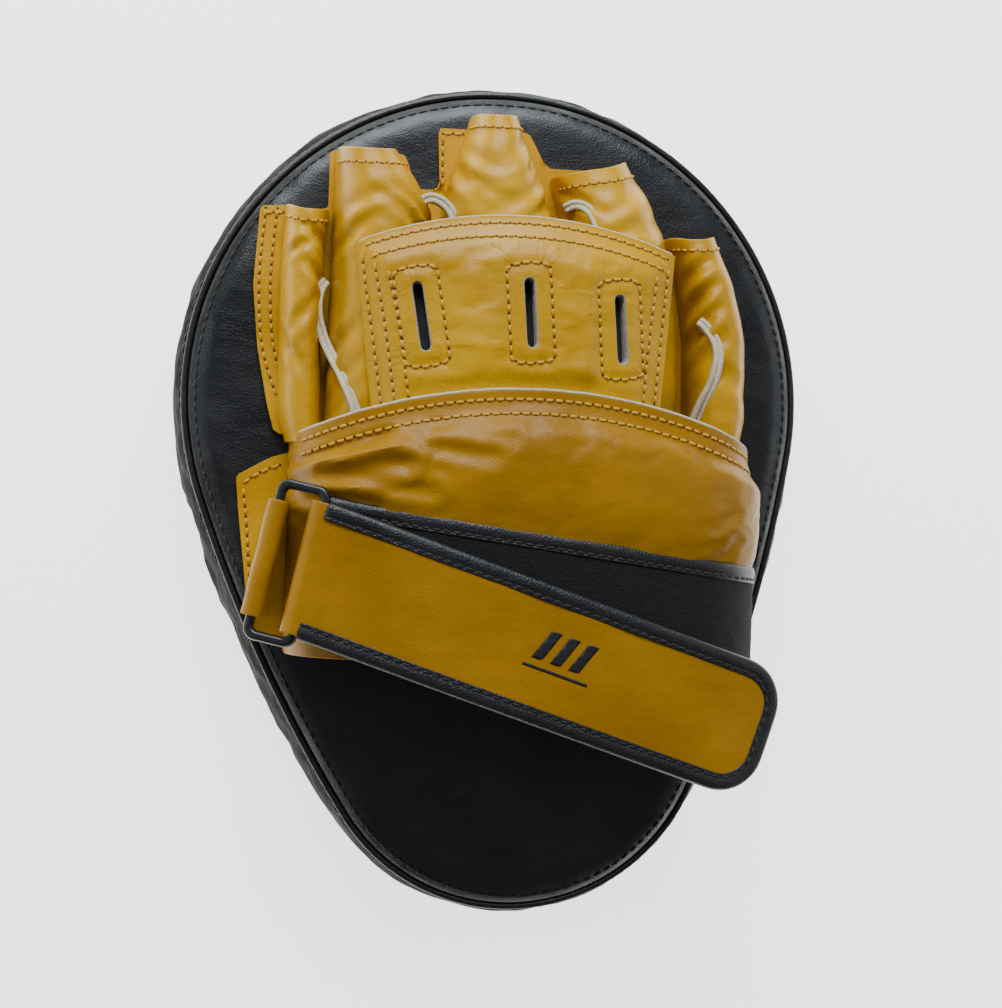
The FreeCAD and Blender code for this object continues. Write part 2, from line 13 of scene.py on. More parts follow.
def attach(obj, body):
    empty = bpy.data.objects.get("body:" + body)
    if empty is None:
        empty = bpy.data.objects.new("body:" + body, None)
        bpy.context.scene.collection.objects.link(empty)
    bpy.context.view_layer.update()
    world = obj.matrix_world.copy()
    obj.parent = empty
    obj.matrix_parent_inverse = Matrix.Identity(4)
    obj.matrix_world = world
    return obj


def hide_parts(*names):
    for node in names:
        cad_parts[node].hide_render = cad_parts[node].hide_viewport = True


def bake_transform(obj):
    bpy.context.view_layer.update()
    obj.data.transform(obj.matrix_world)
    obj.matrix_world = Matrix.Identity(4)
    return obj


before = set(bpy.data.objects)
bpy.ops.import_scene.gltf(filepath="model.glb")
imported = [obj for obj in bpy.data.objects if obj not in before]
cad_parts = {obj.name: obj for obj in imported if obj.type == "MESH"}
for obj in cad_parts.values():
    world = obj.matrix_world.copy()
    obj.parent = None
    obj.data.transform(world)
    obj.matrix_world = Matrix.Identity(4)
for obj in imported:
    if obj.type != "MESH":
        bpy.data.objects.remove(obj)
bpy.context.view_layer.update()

MM = 0.001
rng = random.Random(11)

# Sizes in millimetres, in the frame that the CAD model uses.
PAD_HEIGHT = 46.0
PALM_TOP = 47.8
ARCH_MIDDLE, ARCH_HALF, ARCH_TOP = 1.5, 73.5, 84.5
ARCH_RADIUS, ARCH_CORNER = 300.0, 24.0
STRAP_BAR = np.array([-66.4, -20.5, 82.0])
TAB_BAR = np.array([-79.367, -17.744, 77.5])
RING_TURN = math.radians(-12.0)
RUN_TURN = math.radians(-7.4)
FLAP_TURN = math.radians(-18.7)
RUN_START = np.array([-62.0, -20.0])
STRAP_HALF = 21.0
BINDING = 5.5
FLAP_LENGTH, FLAP_TIP = 152.0, 14.0
FLAP_CROWN, FLAP_RADIUS = 89.4, 330.0
HIGH_ABOVE = 130.0  # where rays that look down on the mitt start


# ---- materials ----

def link(tree, source, target):
    tree.links.new(source, target)


def new_material(name, **sockets):
    material = bpy.data.materials.new(name)
    material.use_nodes = True
    shader = material.node_tree.nodes["Principled BSDF"]
    for socket, value in sockets.items():
        shader.inputs[socket.replace("_", " ")].default_value = value
    return material, material.node_tree, shader


def noise_node(tree, coordinates, scale, detail=4.0, stretch=None):
    node = tree.nodes.new("ShaderNodeTexNoise")
    node.inputs["Scale"].default_value = scale
    node.inputs["Detail"].default_value = detail
    source = coordinates
    if stretch:
        mapping = tree.nodes.new("ShaderNodeMapping")
        mapping.inputs["Scale"].default_value = stretch
        link(tree, coordinates, mapping.inputs["Vector"])
        source = mapping.outputs["Vector"]
    link(tree, source, node.inputs["Vector"])
    return node.outputs["Fac"]


def spread(tree, value, low, high, start=0.3, end=0.7):
    node = tree.nodes.new("ShaderNodeMapRange")
    node.inputs["From Min"].default_value = start
    node.inputs["From Max"].default_value = end
    node.inputs["To Min"].default_value = low
    node.inputs["To Max"].default_value = high
    link(tree, value, node.inputs["Value"])
    return node.outputs["Result"]


def two_tone(tree, shader, value, dark, light, start=0.35, end=0.65):
    mix = tree.nodes.new("ShaderNodeMix")
    mix.data_type = "RGBA"
    mix.inputs["A"].default_value = (*dark, 1)
    mix.inputs["B"].default_value = (*light, 1)
    link(tree, spread(tree, value, 0, 1, start, end), mix.inputs["Factor"])
    link(tree, mix.outputs["Result"], shader.inputs["Base Color"])


def add_bump(tree, shader, layers):
    """Stacks bump layers, each (height, strength, distance in metres)."""
    normal = None
    for height, strength, distance in layers:
        bump = tree.nodes.new("ShaderNodeBump")
        bump.inputs["Strength"].default_value = strength
        bump.inputs["Distance"].default_value = distance
        link(tree, height, bump.inputs["Height"])
        if normal:
            link(tree, normal, bump.inputs["Normal"])
        normal = bump.outputs["Normal"]
    link(tree, normal, shader.inputs["Normal"])


def object_coordinates(tree):
    return tree.nodes.new("ShaderNodeTexCoord").outputs["Object"]


def leather(name, dark, light, rough, grain=0.35, gloss=0.5):
    """Smooth leather: fine pebble grain, faint stretch lines and uneven polish."""
    material, tree, shader = new_material(name, Specular_IOR_Level=gloss)
    place = object_coordinates(tree)
    pebble = tree.nodes.new("ShaderNodeTexVoronoi")
    pebble.feature = "DISTANCE_TO_EDGE"
    pebble.inputs["Scale"].default_value = 950
    link(tree, place, pebble.inputs["Vector"])
    cells = spread(tree, pebble.outputs["Distance"], 0, 1, 0.0, 0.25)
    creases = noise_node(tree, place, 95, 7, (1, 1.7, 1))
    two_tone(tree, shader, noise_node(tree, place, 24, 6), dark, light)
    polish = noise_node(tree, place, 60, 5)
    link(tree, spread(tree, polish, *rough), shader.inputs["Roughness"])
    add_bump(tree, shader, [(creases, 0.35, 0.0009), (cells, grain, 0.00012)])
    return material


def fibrous(name, dark, light, rough, scale, strength, distance, sheen=0.0, stretch=None):
    """Felt, loop pile, foam, webbing or thread: a rough surface with a fine relief."""
    material, tree, shader = new_material(name, Roughness=rough, Sheen_Weight=sheen)
    place = object_coordinates(tree)
    fine = noise_node(tree, place, scale, 8, stretch)
    two_tone(tree, shader, fine, dark, light)
    coarse = noise_node(tree, place, scale * 0.25, 4)
    add_bump(tree, shader, [(coarse, 0.3, distance * 2), (fine, strength, distance)])
    return material


# Leathers: dark tone, light tone, roughness range, grain and gloss.
YELLOW = leather("yellow_leather", (0.46, 0.225, 0.0), (0.60, 0.315, 0.0), (0.26, 0.40), 0.25, 0.30)
# A darker, duller copy of the yellow leather: painted shade for the parts that lie further from the window
# lamp.
SHADED_YELLOW = leather("shaded_yellow_leather", (0.275, 0.122, 0.0), (0.365, 0.17, 0.0), (0.30, 0.44), 0.25, 0.24)
BLACK = leather("black_leather", (0.0035, 0.0040, 0.0050), (0.0075, 0.0085, 0.0105), (0.27, 0.41), 0.28, 0.56)
WALL_BLACK = leather("wall_leather", (0.003, 0.0034, 0.0042), (0.006, 0.0066, 0.008), (0.60, 0.74), 0.25,
                     0.12)
EDGING = leather("binding", (0.0045, 0.0048, 0.0055), (0.009, 0.0095, 0.011), (0.34, 0.46), 0.5)
# Rough stuffs: dark tone, light tone, roughness, size and strength and depth of the relief.
RAW = fibrous("raw_leather", (0.44, 0.38, 0.24), (0.66, 0.59, 0.42), 0.8, 1500, 0.5, 0.0002)
FELT = fibrous("felt", (0.24, 0.21, 0.13), (0.42, 0.37, 0.24), 0.95, 2200, 0.8, 0.0004, 0.3)
FOAM = fibrous("foam", (0.055, 0.057, 0.062), (0.10, 0.10, 0.11), 0.9, 1300, 0.6, 0.0003)
LINING = fibrous("lining", (0.012, 0.012, 0.014), (0.03, 0.03, 0.034), 0.85, 1800, 0.6, 0.0002, 0.2,
                 (1, 3, 1))
LOOP = fibrous("loop_tape", (0.0006, 0.0006, 0.0009), (0.0045, 0.0045, 0.006), 0.95, 1900, 1.0, 0.0007)
HOOK = fibrous("hook_tape", (0.004, 0.004, 0.005), (0.018, 0.018, 0.020), 0.6, 1500, 1.0, 0.0005)
YELLOW_THREAD = fibrous("yellow_thread", (0.50, 0.23, 0.004), (0.68, 0.37, 0.02), 0.6, 3000, 0.6, 0.0002)
BLACK_THREAD = fibrous("black_thread", (0.006, 0.006, 0.007), (0.016, 0.016, 0.018), 0.6, 3000, 0.6, 0.0002)
# Needle holes are dark rings at the surface: their colour is painted shade inside each hole.
HOLE_SHADE = fibrous("needle_hole_shade", (0.05, 0.022, 0.001), (0.09, 0.04, 0.002), 0.9, 900, 0.2, 0.0001)
INK = fibrous("ink", (0.002, 0.002, 0.002), (0.006, 0.006, 0.006), 0.55, 1200, 0.2, 0.00005)
RING_PAINT = fibrous("ring_black", (0.004, 0.004, 0.0045), (0.009, 0.009, 0.010), 0.32, 500, 0.15, 0.0001)


# ---- numbers on arrays ----

def ease(value, start=0.0, end=1.0):
    """0 before start, 1 after end, smooth between."""
    t = np.clip((value - start) / (end - start), 0, 1)
    return t * t * (3 - 2 * t)


def unit(vectors):
    return vectors / np.maximum(np.linalg.norm(vectors, axis=-1, keepdims=True), 1e-9)


def fractal(points, size, octaves=3, seed=0.0):
    """Smooth noise of about -1 to 1 at each point; size is the width of its bumps."""
    scale = 1 / np.array(size, float)
    shifted = np.asarray(points, float).reshape(-1, 3) * scale + seed
    values = [noise.fractal(Vector(p), 0.9, 2.1, octaves) for p in shifted]
    return np.array(values).reshape(np.asarray(points).shape[:-1])


def to_line(points, line, closed=True):
    """Distance in the plane from each point to a line of straight runs."""
    line = np.asarray(line, float)
    ends = np.roll(line, -1, axis=0) if closed else line[1:]
    starts = line if closed else line[:-1]
    best = np.full(len(points), 1e9)
    for a, b in zip(starts, ends):
        run = b - a
        t = np.clip(((points - a) @ run) / max(run @ run, 1e-9), 0, 1)
        best = np.minimum(best, np.linalg.norm(points - a - t[:, None] * run, axis=1))
    return best


def resample(points, spacing, closed=False):
    """The same line with even spacing."""
    points = np.asarray(points, float)
    if closed:
        points = np.vstack([points, points[:1]])
    lengths = np.concatenate([[0], np.cumsum(np.linalg.norm(np.diff(points, axis=0), axis=1))])
    count = max(2, int(round(lengths[-1] / spacing)))
    stops = np.linspace(0, lengths[-1], count + 1)
    if closed:
        stops = stops[:-1]
    return np.column_stack([np.interp(stops, lengths, points[:, k]) for k in range(points.shape[1])])


def smooth_line(points, spacing):
    """A smooth curve through the points, evenly spaced."""
    points = np.asarray(points, float)
    padded = np.vstack([2 * points[0] - points[1], points, 2 * points[-1] - points[-2]])
    out = []
    for k in range(len(points) - 1):
        a, b, c, d = padded[k:k + 4]
        for t in np.linspace(0, 1, 12, endpoint=False):
            out.append(0.5 * (2 * b + (c - a) * t + (2 * a - 5 * b + 4 * c - d) * t * t
                              + (3 * b - a - 3 * c + d) * t ** 3))
    out.append(points[-1])
    return resample(out, spacing)


def round_corners(points, radius, steps=5):
    """The closed outline with each corner replaced by a short curve."""
    points = [np.array(p, float) for p in points]
    out = []
    for k, corner in enumerate(points):
        before, after = points[k - 1] - corner, points[(k + 1) % len(points)] - corner
        cut_a = min(radius, np.linalg.norm(before) * 0.45)
        cut_b = min(radius, np.linalg.norm(after) * 0.45)
        a = corner + before / np.linalg.norm(before) * cut_a
        b = corner + after / np.linalg.norm(after) * cut_b
        for t in np.linspace(0, 1, steps):
            out.append((1 - t) ** 2 * a + 2 * t * (1 - t) * corner + t * t * b)
    return out


# ---- meshes ----

def grid_faces(rows, columns, closed=False):
    """Faces of a grid of points; closed joins the last column to the first."""
    faces = []
    for r in range(rows - 1):
        for c in range(columns if closed else columns - 1):
            d = (c + 1) % columns
            faces.append((r * columns + c, r * columns + d, (r + 1) * columns + d, (r + 1) * columns + c))
    return faces


def closed_solid(top, bottom, faces):
    """Points and faces of the solid between two sheets that share their faces."""
    count = len(top)
    sides = dict.fromkeys(pair for face in faces for pair in zip(face, face[1:] + face[:1]))
    rim = [(b, a, a + count, b + count) for a, b in sides if (b, a) not in sides]
    under = [tuple(v + count for v in reversed(face)) for face in faces]
    return np.vstack([top, bottom]), faces + under + rim


def fix_normals(mesh, merge):
    """Turns every face outwards; merge also joins points that coincide."""
    work = bmesh.new()
    work.from_mesh(mesh)
    if merge:
        bmesh.ops.remove_doubles(work, verts=work.verts, dist=1e-6)
    bmesh.ops.recalc_face_normals(work, faces=work.faces)
    work.to_mesh(mesh)
    work.free()


def add_object(name, mesh):
    piece = bpy.data.objects.new(name, mesh)
    bpy.context.collection.objects.link(piece)
    return piece


def add_mesh(name, points, faces, material):
    mesh = bpy.data.meshes.new(name)
    mesh.from_pydata((np.asarray(points) * MM).tolist(), [], faces)
    mesh.validate()
    fix_normals(mesh, True)
    mesh.materials.append(material)
    return add_object(name, mesh)


def soften(piece, bevel=0.3, levels=1):
    """Rounds the cut edges and adds a subdivision, both applied to the mesh."""
    if bevel:
        modifier = piece.modifiers.new("bevel", "BEVEL")
        modifier.width = bevel * MM
        modifier.segments = 2
        modifier.limit_method = "ANGLE"
        modifier.angle_limit = math.radians(50)
        modifier.use_clamp_overlap = True
    if levels:
        modifier = piece.modifiers.new("smooth", "SUBSURF")
        modifier.levels = modifier.render_levels = levels
    graph = bpy.context.evaluated_depsgraph_get()
    done = bpy.data.meshes.new_from_object(piece.evaluated_get(graph))
    piece.modifiers.clear()
    old, piece.data = piece.data, done
    done.name = piece.name
    bpy.data.meshes.remove(old)
    for face in done.polygons:
        face.use_smooth = True
    return piece


def add_shell(name, top, bottom, faces, material, bevel=0.3, levels=1):
    points, all_faces = closed_solid(top, bottom, faces)
    return soften(add_mesh(name, points, all_faces, material), bevel, levels)


def declare(nodes):
    """Hides the CAD nodes that a piece stands for."""
    if nodes:
        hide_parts(*nodes)


def settle(piece, body, nodes):
    """Puts a finished piece on its body and hides the CAD nodes that it stands for."""
    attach(piece, body)
    declare(nodes)


def puff(name, top, faces, held, pressure, growth, cap, frames):
    """Cloth simulation of a sheet that is sewn down where held is true: it swells and wrinkles.

    growth is how much wider the cloth is than its place, and cap the furthest that it may move."""
    mesh = bpy.data.meshes.new(name)
    mesh.from_pydata((top * MM).tolist(), [], faces)
    cloth_piece = add_object(name, mesh)
    group = cloth_piece.vertex_groups.new(name="held")
    group.add([int(k) for k in np.nonzero(held)[0]], 1.0, "REPLACE")
    modifier = cloth_piece.modifiers.new("cloth", "CLOTH")
    cloth = modifier.settings
    cloth.quality = 6
    cloth.mass = 0.25
    cloth.tension_stiffness = 25
    cloth.compression_stiffness = 25
    cloth.shear_stiffness = 12
    cloth.bending_stiffness = 0.3
    cloth.vertex_group_mass = "held"
    cloth.use_pressure = True
    cloth.uniform_pressure_force = pressure
    cloth.shrink_min = -growth
    cloth.effector_weights.gravity = 0
    modifier.collision_settings.use_collision = False
    modifier.point_cache.frame_start = 1
    modifier.point_cache.frame_end = frames
    scene = bpy.context.scene
    for number in range(1, frames + 1):
        scene.frame_set(number)
    moved = cloth_piece.evaluated_get(bpy.context.evaluated_depsgraph_get()).to_mesh()
    flat = np.empty(len(moved.vertices) * 3)
    moved.vertices.foreach_get("co", flat)
    change = flat.reshape(-1, 3) / MM - top
    change[held] = 0
    length = np.linalg.norm(change, axis=1, keepdims=True)
    change *= cap * np.tanh(length / cap) / np.maximum(length, 1e-6)
    bpy.data.objects.remove(cloth_piece)
    scene.frame_set(1)
    return top + change


def plan_mesh(outline, holes=(), step=3.0):
    """A flat mesh inside the outline, cut into cells of about step; returns points and faces."""
    work = bmesh.new()
    for loop in (outline, *holes):
        corners = [work.verts.new((p[0], p[1], 0)) for p in loop]
        for a, b in zip(corners, corners[1:] + corners[:1]):
            work.edges.new((a, b))
    bmesh.ops.triangle_fill(work, edges=work.edges[:], use_beauty=True, use_dissolve=not holes,
                            normal=(0, 0, 1))
    outline = np.array([p[:2] for p in outline])
    low, high = outline.min(axis=0), outline.max(axis=0)
    for axis in (0, 1):
        for place in np.arange(low[axis] + step * 0.6, high[axis] - step * 0.3, step):
            point, normal = [0, 0, 0], [0, 0, 0]
            point[axis], normal[axis] = float(place), 1
            everything = work.verts[:] + work.edges[:] + work.faces[:]
            bmesh.ops.bisect_plane(work, geom=everything, dist=1e-4, plane_co=point, plane_no=normal)
    if holes:
        bmesh.ops.join_triangles(work, faces=work.faces[:], angle_face_threshold=3.1,
                                 angle_shape_threshold=3.1)
    bmesh.ops.remove_doubles(work, verts=work.verts, dist=1e-3)
    for face in work.faces:
        if face.normal.z < 0:
            face.normal_flip()
    work.verts.index_update()
    points = np.array([v.co[:2] for v in work.verts])
    faces = [tuple(v.index for v in face.verts) for face in work.faces]
    work.free()
    return points, faces


def sweep(name, profile, path, side, up, material, closed=False):
    """Carries a closed profile of (sideways, upwards) points along a path."""
    profile = np.asarray(profile, float)
    rings = path[:, None] + side[:, None] * profile[None, :, :1] + up[:, None] * profile[None, :, 1:]
    rows, columns = rings.shape[:2]
    points = rings.reshape(-1, 3)
    faces = grid_faces(rows, columns, closed=True)
    if closed:
        last = (rows - 1) * columns
        faces += [(last + c, last + (c + 1) % columns, (c + 1) % columns, c) for c in range(columns)]
    else:
        faces.append(tuple(reversed(range(columns))))
        faces.append(tuple((rows - 1) * columns + c for c in range(columns)))
    return soften(add_mesh(name, points, faces, material), 0)


def tree_of(*pieces):
    """A search tree of the shown surfaces of the pieces, in millimetres."""
    points, faces = [], []
    for piece in pieces:
        start = len(points)
        points += [piece.matrix_world @ v.co / MM for v in piece.data.vertices]
        faces += [tuple(start + k for k in p.vertices) for p in piece.data.polygons]
    return BVHTree.FromPolygons(points, faces)


def drop(tree, origin, direction):
    """Where a ray from origin meets the surface, and the surface's normal there; None if it misses."""
    place, normal, _, _ = tree.ray_cast(Vector(origin), Vector(direction))
    if place is None:
        return None
    if normal.dot(Vector(direction)) > 0:
        normal = -normal
    return np.array(place), np.array(normal)


RING_SIDES = 6
STITCH_STOPS = np.array([-0.42, -0.3, 0.0, 0.3, 0.42])
STITCH_LIFTS = (-0.35, 0.12, 0.3, 0.12, -0.35)
STITCH_WIDTHS = (0.5, 0.9, 1.0, 0.9, 0.5)


def stitch_rows(name, tree, rows, pitch=3.0, size=0.52, thread=YELLOW_THREAD, hole=HOLE_SHADE, blend=None):
    """Rows of thread stitches on a surface, with needle holes between them, on the mitt, or on no body when
    blend is given.

    Each row is a list of (origin, direction) rays that find the seam on the surface."""
    points, faces, hole_faces = [], [], []

    def ring(centre, across, normal, width, height):
        start = len(points)
        for k in range(RING_SIDES):
            angle = math.tau * k / RING_SIDES
            points.append(centre + across * math.cos(angle) * width + normal * math.sin(angle) * height)
        return list(range(start, start + RING_SIDES))

    def tube(rings, out):
        for a, b in zip(rings, rings[1:]):
            for j in range(RING_SIDES):
                k = (j + 1) % RING_SIDES
                out.append((a[j], a[k], b[k], b[j]))
        out.append(tuple(reversed(rings[0])))
        out.append(tuple(rings[-1]))

    for row in rows:
        hits = [hit for hit in (drop(tree, *ray) for ray in row) if hit]
        line = np.array([np.concatenate(hit) for hit in hits])
        steps = np.linalg.norm(np.diff(line[:, :3], axis=0), axis=1)
        lengths = np.concatenate([[0], np.cumsum(steps)])
        count = max(1, int(lengths[-1] / pitch))
        for k in range(count):
            middle = (k + 0.5) * lengths[-1] / count + rng.uniform(-0.12, 0.12)
            stops = middle + STITCH_STOPS * pitch
            spots = np.column_stack([np.interp(stops, lengths, line[:, axis]) for axis in range(6)])
            along = unit(spots[-1, :3] - spots[0, :3])
            normal = unit(spots[2, 3:])
            across = unit(np.cross(along, normal)) * (1 + rng.uniform(-0.08, 0.08))
            skew = across * rng.uniform(-0.18, 0.18)
            rings = []
            for spot, lift, width in zip(spots, STITCH_LIFTS, STITCH_WIDTHS):
                slant = skew * (spot[:3] - spots[2, :3]).dot(along) / pitch
                place = spot[:3] + normal * lift * size * 1.6 + slant
                rings.append(ring(place, across, normal, size * width, size * width * 0.8))
            tube(rings, faces)
            gap = middle + 0.5 * lengths[-1] / count
            spot = np.array([np.interp(gap, lengths, line[:, axis]) for axis in range(6)])
            up = unit(spot[3:])
            # A dark ring at the surface for the needle hole: painted shade.
            low = ring(spot[:3] - up * 0.25, across, along, size * 1.15, size * 1.0)
            high = ring(spot[:3] + up * 0.06, across, along, size * 0.95, size * 0.8)
            tube([low, high], hole_faces)
    mesh = bpy.data.meshes.new(name)
    mesh.from_pydata((np.array(points) * MM).tolist(), [], faces + hole_faces)
    mesh.materials.append(thread)
    mesh.materials.append(hole)
    for index, face in enumerate(mesh.polygons):
        face.material_index = 0 if index < len(faces) else 1
        face.use_smooth = index < len(faces)
    fix_normals(mesh, False)
    piece = add_object(name, mesh)
    if blend:
        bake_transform(piece)
    else:
        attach(piece, "mitt")


# ---- camera, light and floor ----

def aim(item, target):
    item.rotation_mode = "QUATERNION"
    item.rotation_quaternion = (Vector(target) - item.location).to_track_quat("-Z", "Y")


def build_stage():
    camera_data = bpy.data.cameras.new("camera")
    camera = add_object("camera", camera_data)
    camera.location = (-0.102, -0.002, 0.700)
    view_line = Vector((-0.003, 0.001, 0.046)) - camera.location
    lean = math.radians(1.9)
    up = Vector((-math.sin(lean), math.cos(lean), 0))
    right = view_line.cross(up).normalized()
    up = right.cross(view_line).normalized()
    back = -view_line.normalized()
    basis = ((right.x, up.x, back.x), (right.y, up.y, back.y), (right.z, up.z, back.z))
    camera.rotation_mode = "QUATERNION"
    camera.rotation_quaternion = Matrix(basis).to_quaternion()
    camera_data.lens = 73
    camera_data.clip_start = 0.01
    bpy.context.scene.camera = camera

    mesh = bpy.data.meshes.new("floor")
    mesh.from_pydata([(-4, -4, 0), (4, -4, 0), (4, 4, 0), (-4, 4, 0)], [], [(0, 1, 2, 3)])
    floor = add_object("floor", mesh)
    material, tree, shader = new_material("floor", Roughness=0.9)
    mottle = noise_node(tree, object_coordinates(tree), 3, 3)
    two_tone(tree, shader, mottle, (0.86, 0.865, 0.83), (0.88, 0.885, 0.85))
    shader.inputs["Emission Color"].default_value = (0.98, 0.985, 0.90, 1)
    shader.inputs["Emission Strength"].default_value = 2.2
    mesh.materials.append(material)

    lamps = {
        "window": ((-0.12, 0.86, 0.66), 0.8, 0.55, 16),
        "fill_right": ((1.3, 0.2, 0.9), 0.8, 0.8, 3.5),
        "fill_left": ((-1.3, 0.1, 0.9), 0.8, 0.8, 3.5),
        "overhead": ((0.05, 0.80, 1.6), 0.6, 0.6, 3),
    }
    for name, (place, width, height, power) in lamps.items():
        data = bpy.data.lights.new(name, "AREA")
        data.shape = "RECTANGLE"
        data.size, data.size_y, data.energy = width, height, power
        data.color = (0.88, 0.94, 1.0)
        lamp = add_object(name, data)
        lamp.location = place
        aim(lamp, (0, 0, 0.05))
    world = bpy.data.worlds.new("room")
    bpy.context.scene.world = world
    world.use_nodes = True
    background = world.node_tree.nodes["Background"]
    background.inputs["Color"].default_value = (0.95, 0.97, 1.0, 1)
    background.inputs["Strength"].default_value = 0.16


# ---- pad ----

def egg_outline(count):
    """The pad's outline from four tangent arcs, evenly spaced, and its outward normals."""
    top, top_radius = np.array([-5.6, 34.0]), 102.0
    bottom, bottom_radius = np.array([3.81, -65.56]), 66.5
    side_radius = 480.0
    gap = np.linalg.norm(bottom - top)
    along = (bottom - top) / gap
    across = np.array([-along[1], along[0]])
    reach = side_radius - top_radius
    shift = (reach ** 2 - (side_radius - bottom_radius) ** 2 + gap ** 2) / (2 * gap)
    height = math.sqrt(reach ** 2 - shift ** 2)
    right_centre = top + shift * along - height * across
    left_centre = top + shift * along + height * across

    def heading(vector):
        return math.atan2(vector[1], vector[0])

    stops = [heading(top - right_centre), heading(top - left_centre),
             heading(bottom - left_centre), heading(bottom - right_centre)]
    arcs = [(top, top_radius), (left_centre, side_radius),
            (bottom, bottom_radius), (right_centre, side_radius)]
    points = []
    for k, (centre, radius) in enumerate(arcs):
        turn = (stops[(k + 1) % 4] - stops[k]) % math.tau
        steps = int(radius * turn / 0.5)
        for angle in stops[k] + turn * np.arange(steps) / steps:
            normal = np.array([math.cos(angle), math.sin(angle)])
            points.append(np.concatenate([centre + radius * normal, normal]))
    line = resample(np.array(points), 1.0, closed=True)
    line = line[np.linspace(0, len(line), count, endpoint=False).astype(int)]
    return line[:, :2], unit(line[:, 2:])


PAD_COUNT = 300
EGG, EGG_NORMAL = egg_outline(PAD_COUNT)


def pad_ring(inset, z):
    return np.column_stack([EGG - EGG_NORMAL * inset, np.full(PAD_COUNT, z)])


def cap_patch(ring, first, next_free):
    """Quads that fill a ring of points, numbered from first on: the new inner points and the faces."""
    side = PAD_COUNT // 4
    looped = np.vstack([ring, ring[:1]])
    low, right = looped[:side + 1], looped[side:2 * side + 1]
    high, left = looped[2 * side:3 * side + 1][::-1], looped[3 * side:][::-1]
    u = np.linspace(0, 1, side + 1)[None, :, None]
    v = np.linspace(0, 1, side + 1)[:, None, None]
    patch = (1 - v) * low[None] + v * high[None] + (1 - u) * left[:, None] + u * right[:, None]
    patch -= (1 - u) * (1 - v) * low[0] + u * (1 - v) * low[-1] + (1 - u) * v * high[0] + u * v * high[-1]
    numbers = np.zeros((side + 1, side + 1), int)
    numbers[1:-1, 1:-1] = next_free + np.arange((side - 1) ** 2).reshape(side - 1, side - 1)
    around = first + np.arange(PAD_COUNT + 1) % PAD_COUNT
    numbers[0] = around[:side + 1]
    numbers[:, -1] = around[side:2 * side + 1]
    numbers[-1] = around[2 * side:3 * side + 1][::-1]
    numbers[:, 0] = around[3 * side:][::-1]
    faces = [(numbers[r, c], numbers[r, c + 1], numbers[r + 1, c + 1], numbers[r + 1, c])
             for r in range(side) for c in range(side)]
    return patch[1:-1, 1:-1].reshape(-1, 3), [tuple(int(k) for k in face) for face in faces]


def sheet_normals(points, faces):
    """Smooth normals of a sheet of four-sided faces at its points."""
    total = np.zeros_like(points)
    quads = np.array(faces)
    corners = [points[quads[:, k]] for k in range(4)]
    across = np.cross(corners[2] - corners[0], corners[3] - corners[1])
    for k in range(4):
        np.add.at(total, quads[:, k], across)
    return unit(total)


def skin(name, rings, thickness, material, node, shape, capped=False):
    """A leather skin through rings of points; its inner side lies thickness below.

    shape(points, outward, faces) moves the points, and capped closes the last ring."""
    rows = len(rings)
    points = np.array(rings).reshape(-1, 3)
    faces = grid_faces(rows, PAD_COUNT, closed=True)
    if capped:
        inner, patch_faces = cap_patch(rings[-1], (rows - 1) * PAD_COUNT, len(points))
        points = np.vstack([points, inner])
        faces += patch_faces
    normals = sheet_normals(points, faces)
    middle = np.array([0, 0, PAD_HEIGHT / 2])
    sign = np.sign(((points - middle) * normals).sum(axis=1).mean())
    points = shape(points, normals * sign, faces)
    outward = sheet_normals(points, faces) * sign
    piece = add_shell(name, points, points - outward * thickness, faces, material, 0)
    settle(piece, "mitt", [node])
    return piece


def shape_face(points, outward, faces):
    """The striking face: slight hollows between the foam and the leather."""
    broad = np.clip(fractal(points, 34, 3, 2.0), -0.2, 1) * 0.5
    fine = np.clip(fractal(points, 9, 2, 5.0), 0, 1) * 0.15
    points = points.copy()
    points[:, 2] += np.where(points[:, 2] < 0.5, np.clip(broad + fine, 0, 0.6), 0)
    return points


def around_pad(points):
    """Distance round the pad of each point, in millimetres."""
    return np.arctan2(points[:, 1], points[:, 0]) * 80


def shape_gusset(points, outward, faces):
    """The wall: it bellies between its seams, with pleats beside them and lumps on the thumb side."""
    height = points[:, 2]
    rise = (height - 6.4) / (40.4 - 6.4)
    held = (rise < 0.02) | (rise > 0.98)
    belly = np.sin(np.pi * np.clip(rise, 0, 1))
    thumb_side = ease(-points[:, 0], 35, 85) * ease(-points[:, 1], -60, 30)
    pleats = fractal(np.column_stack([around_pad(points), height * 0.25, height * 0]), 5.5, 2, 3.0)
    near_seam = np.exp(-(height - 6.4) / 5) + np.exp(-(40.4 - height) / 5)
    lumps = fractal(points, (26, 26, 15), 3, 1.0)
    folds = 1 - np.abs(fractal(points, (30, 22, 11), 3, 7.0)) * 3.2
    push = belly * (1.1 + 1.5 * lumps + 0.9 * thumb_side * np.clip(folds, -0.5, 1))
    push += 0.3 * pleats * near_seam * ~held
    points = points + outward * push[:, None]
    return puff("gusset_cloth", points, faces, held, 2.5, 0.008, 1.4, 14)


def shape_back(points, outward, faces):
    """The back panel: waves where the glove leaves it free, and pleats along its rounded edge."""
    away = ease(np.hypot((points[:, 0] - 2) / 92, (points[:, 1] - 30) / 100), 0.75, 1.15)
    low_part = ease(-points[:, 1], 50, 75)
    free = np.maximum(away * (points[:, 1] > -60), low_part) * ease(points[:, 2], 42.2, 45.5)
    waves = 0.55 * fractal(points, 42, 2, 4.0) + 0.22 * fractal(points, 13, 3, 9.0)
    points = points.copy()
    points[:, 2] += free * waves
    flat = points[:, 2] * 0
    pleats = fractal(np.column_stack([around_pad(points), flat, flat]), 6.0, 2, 8.0)
    edge = ease(points[:, 2], 42, 44) * ease(-points[:, 2], -46.1, -44.5)
    return points + outward * (0.35 * pleats * edge)[:, None]


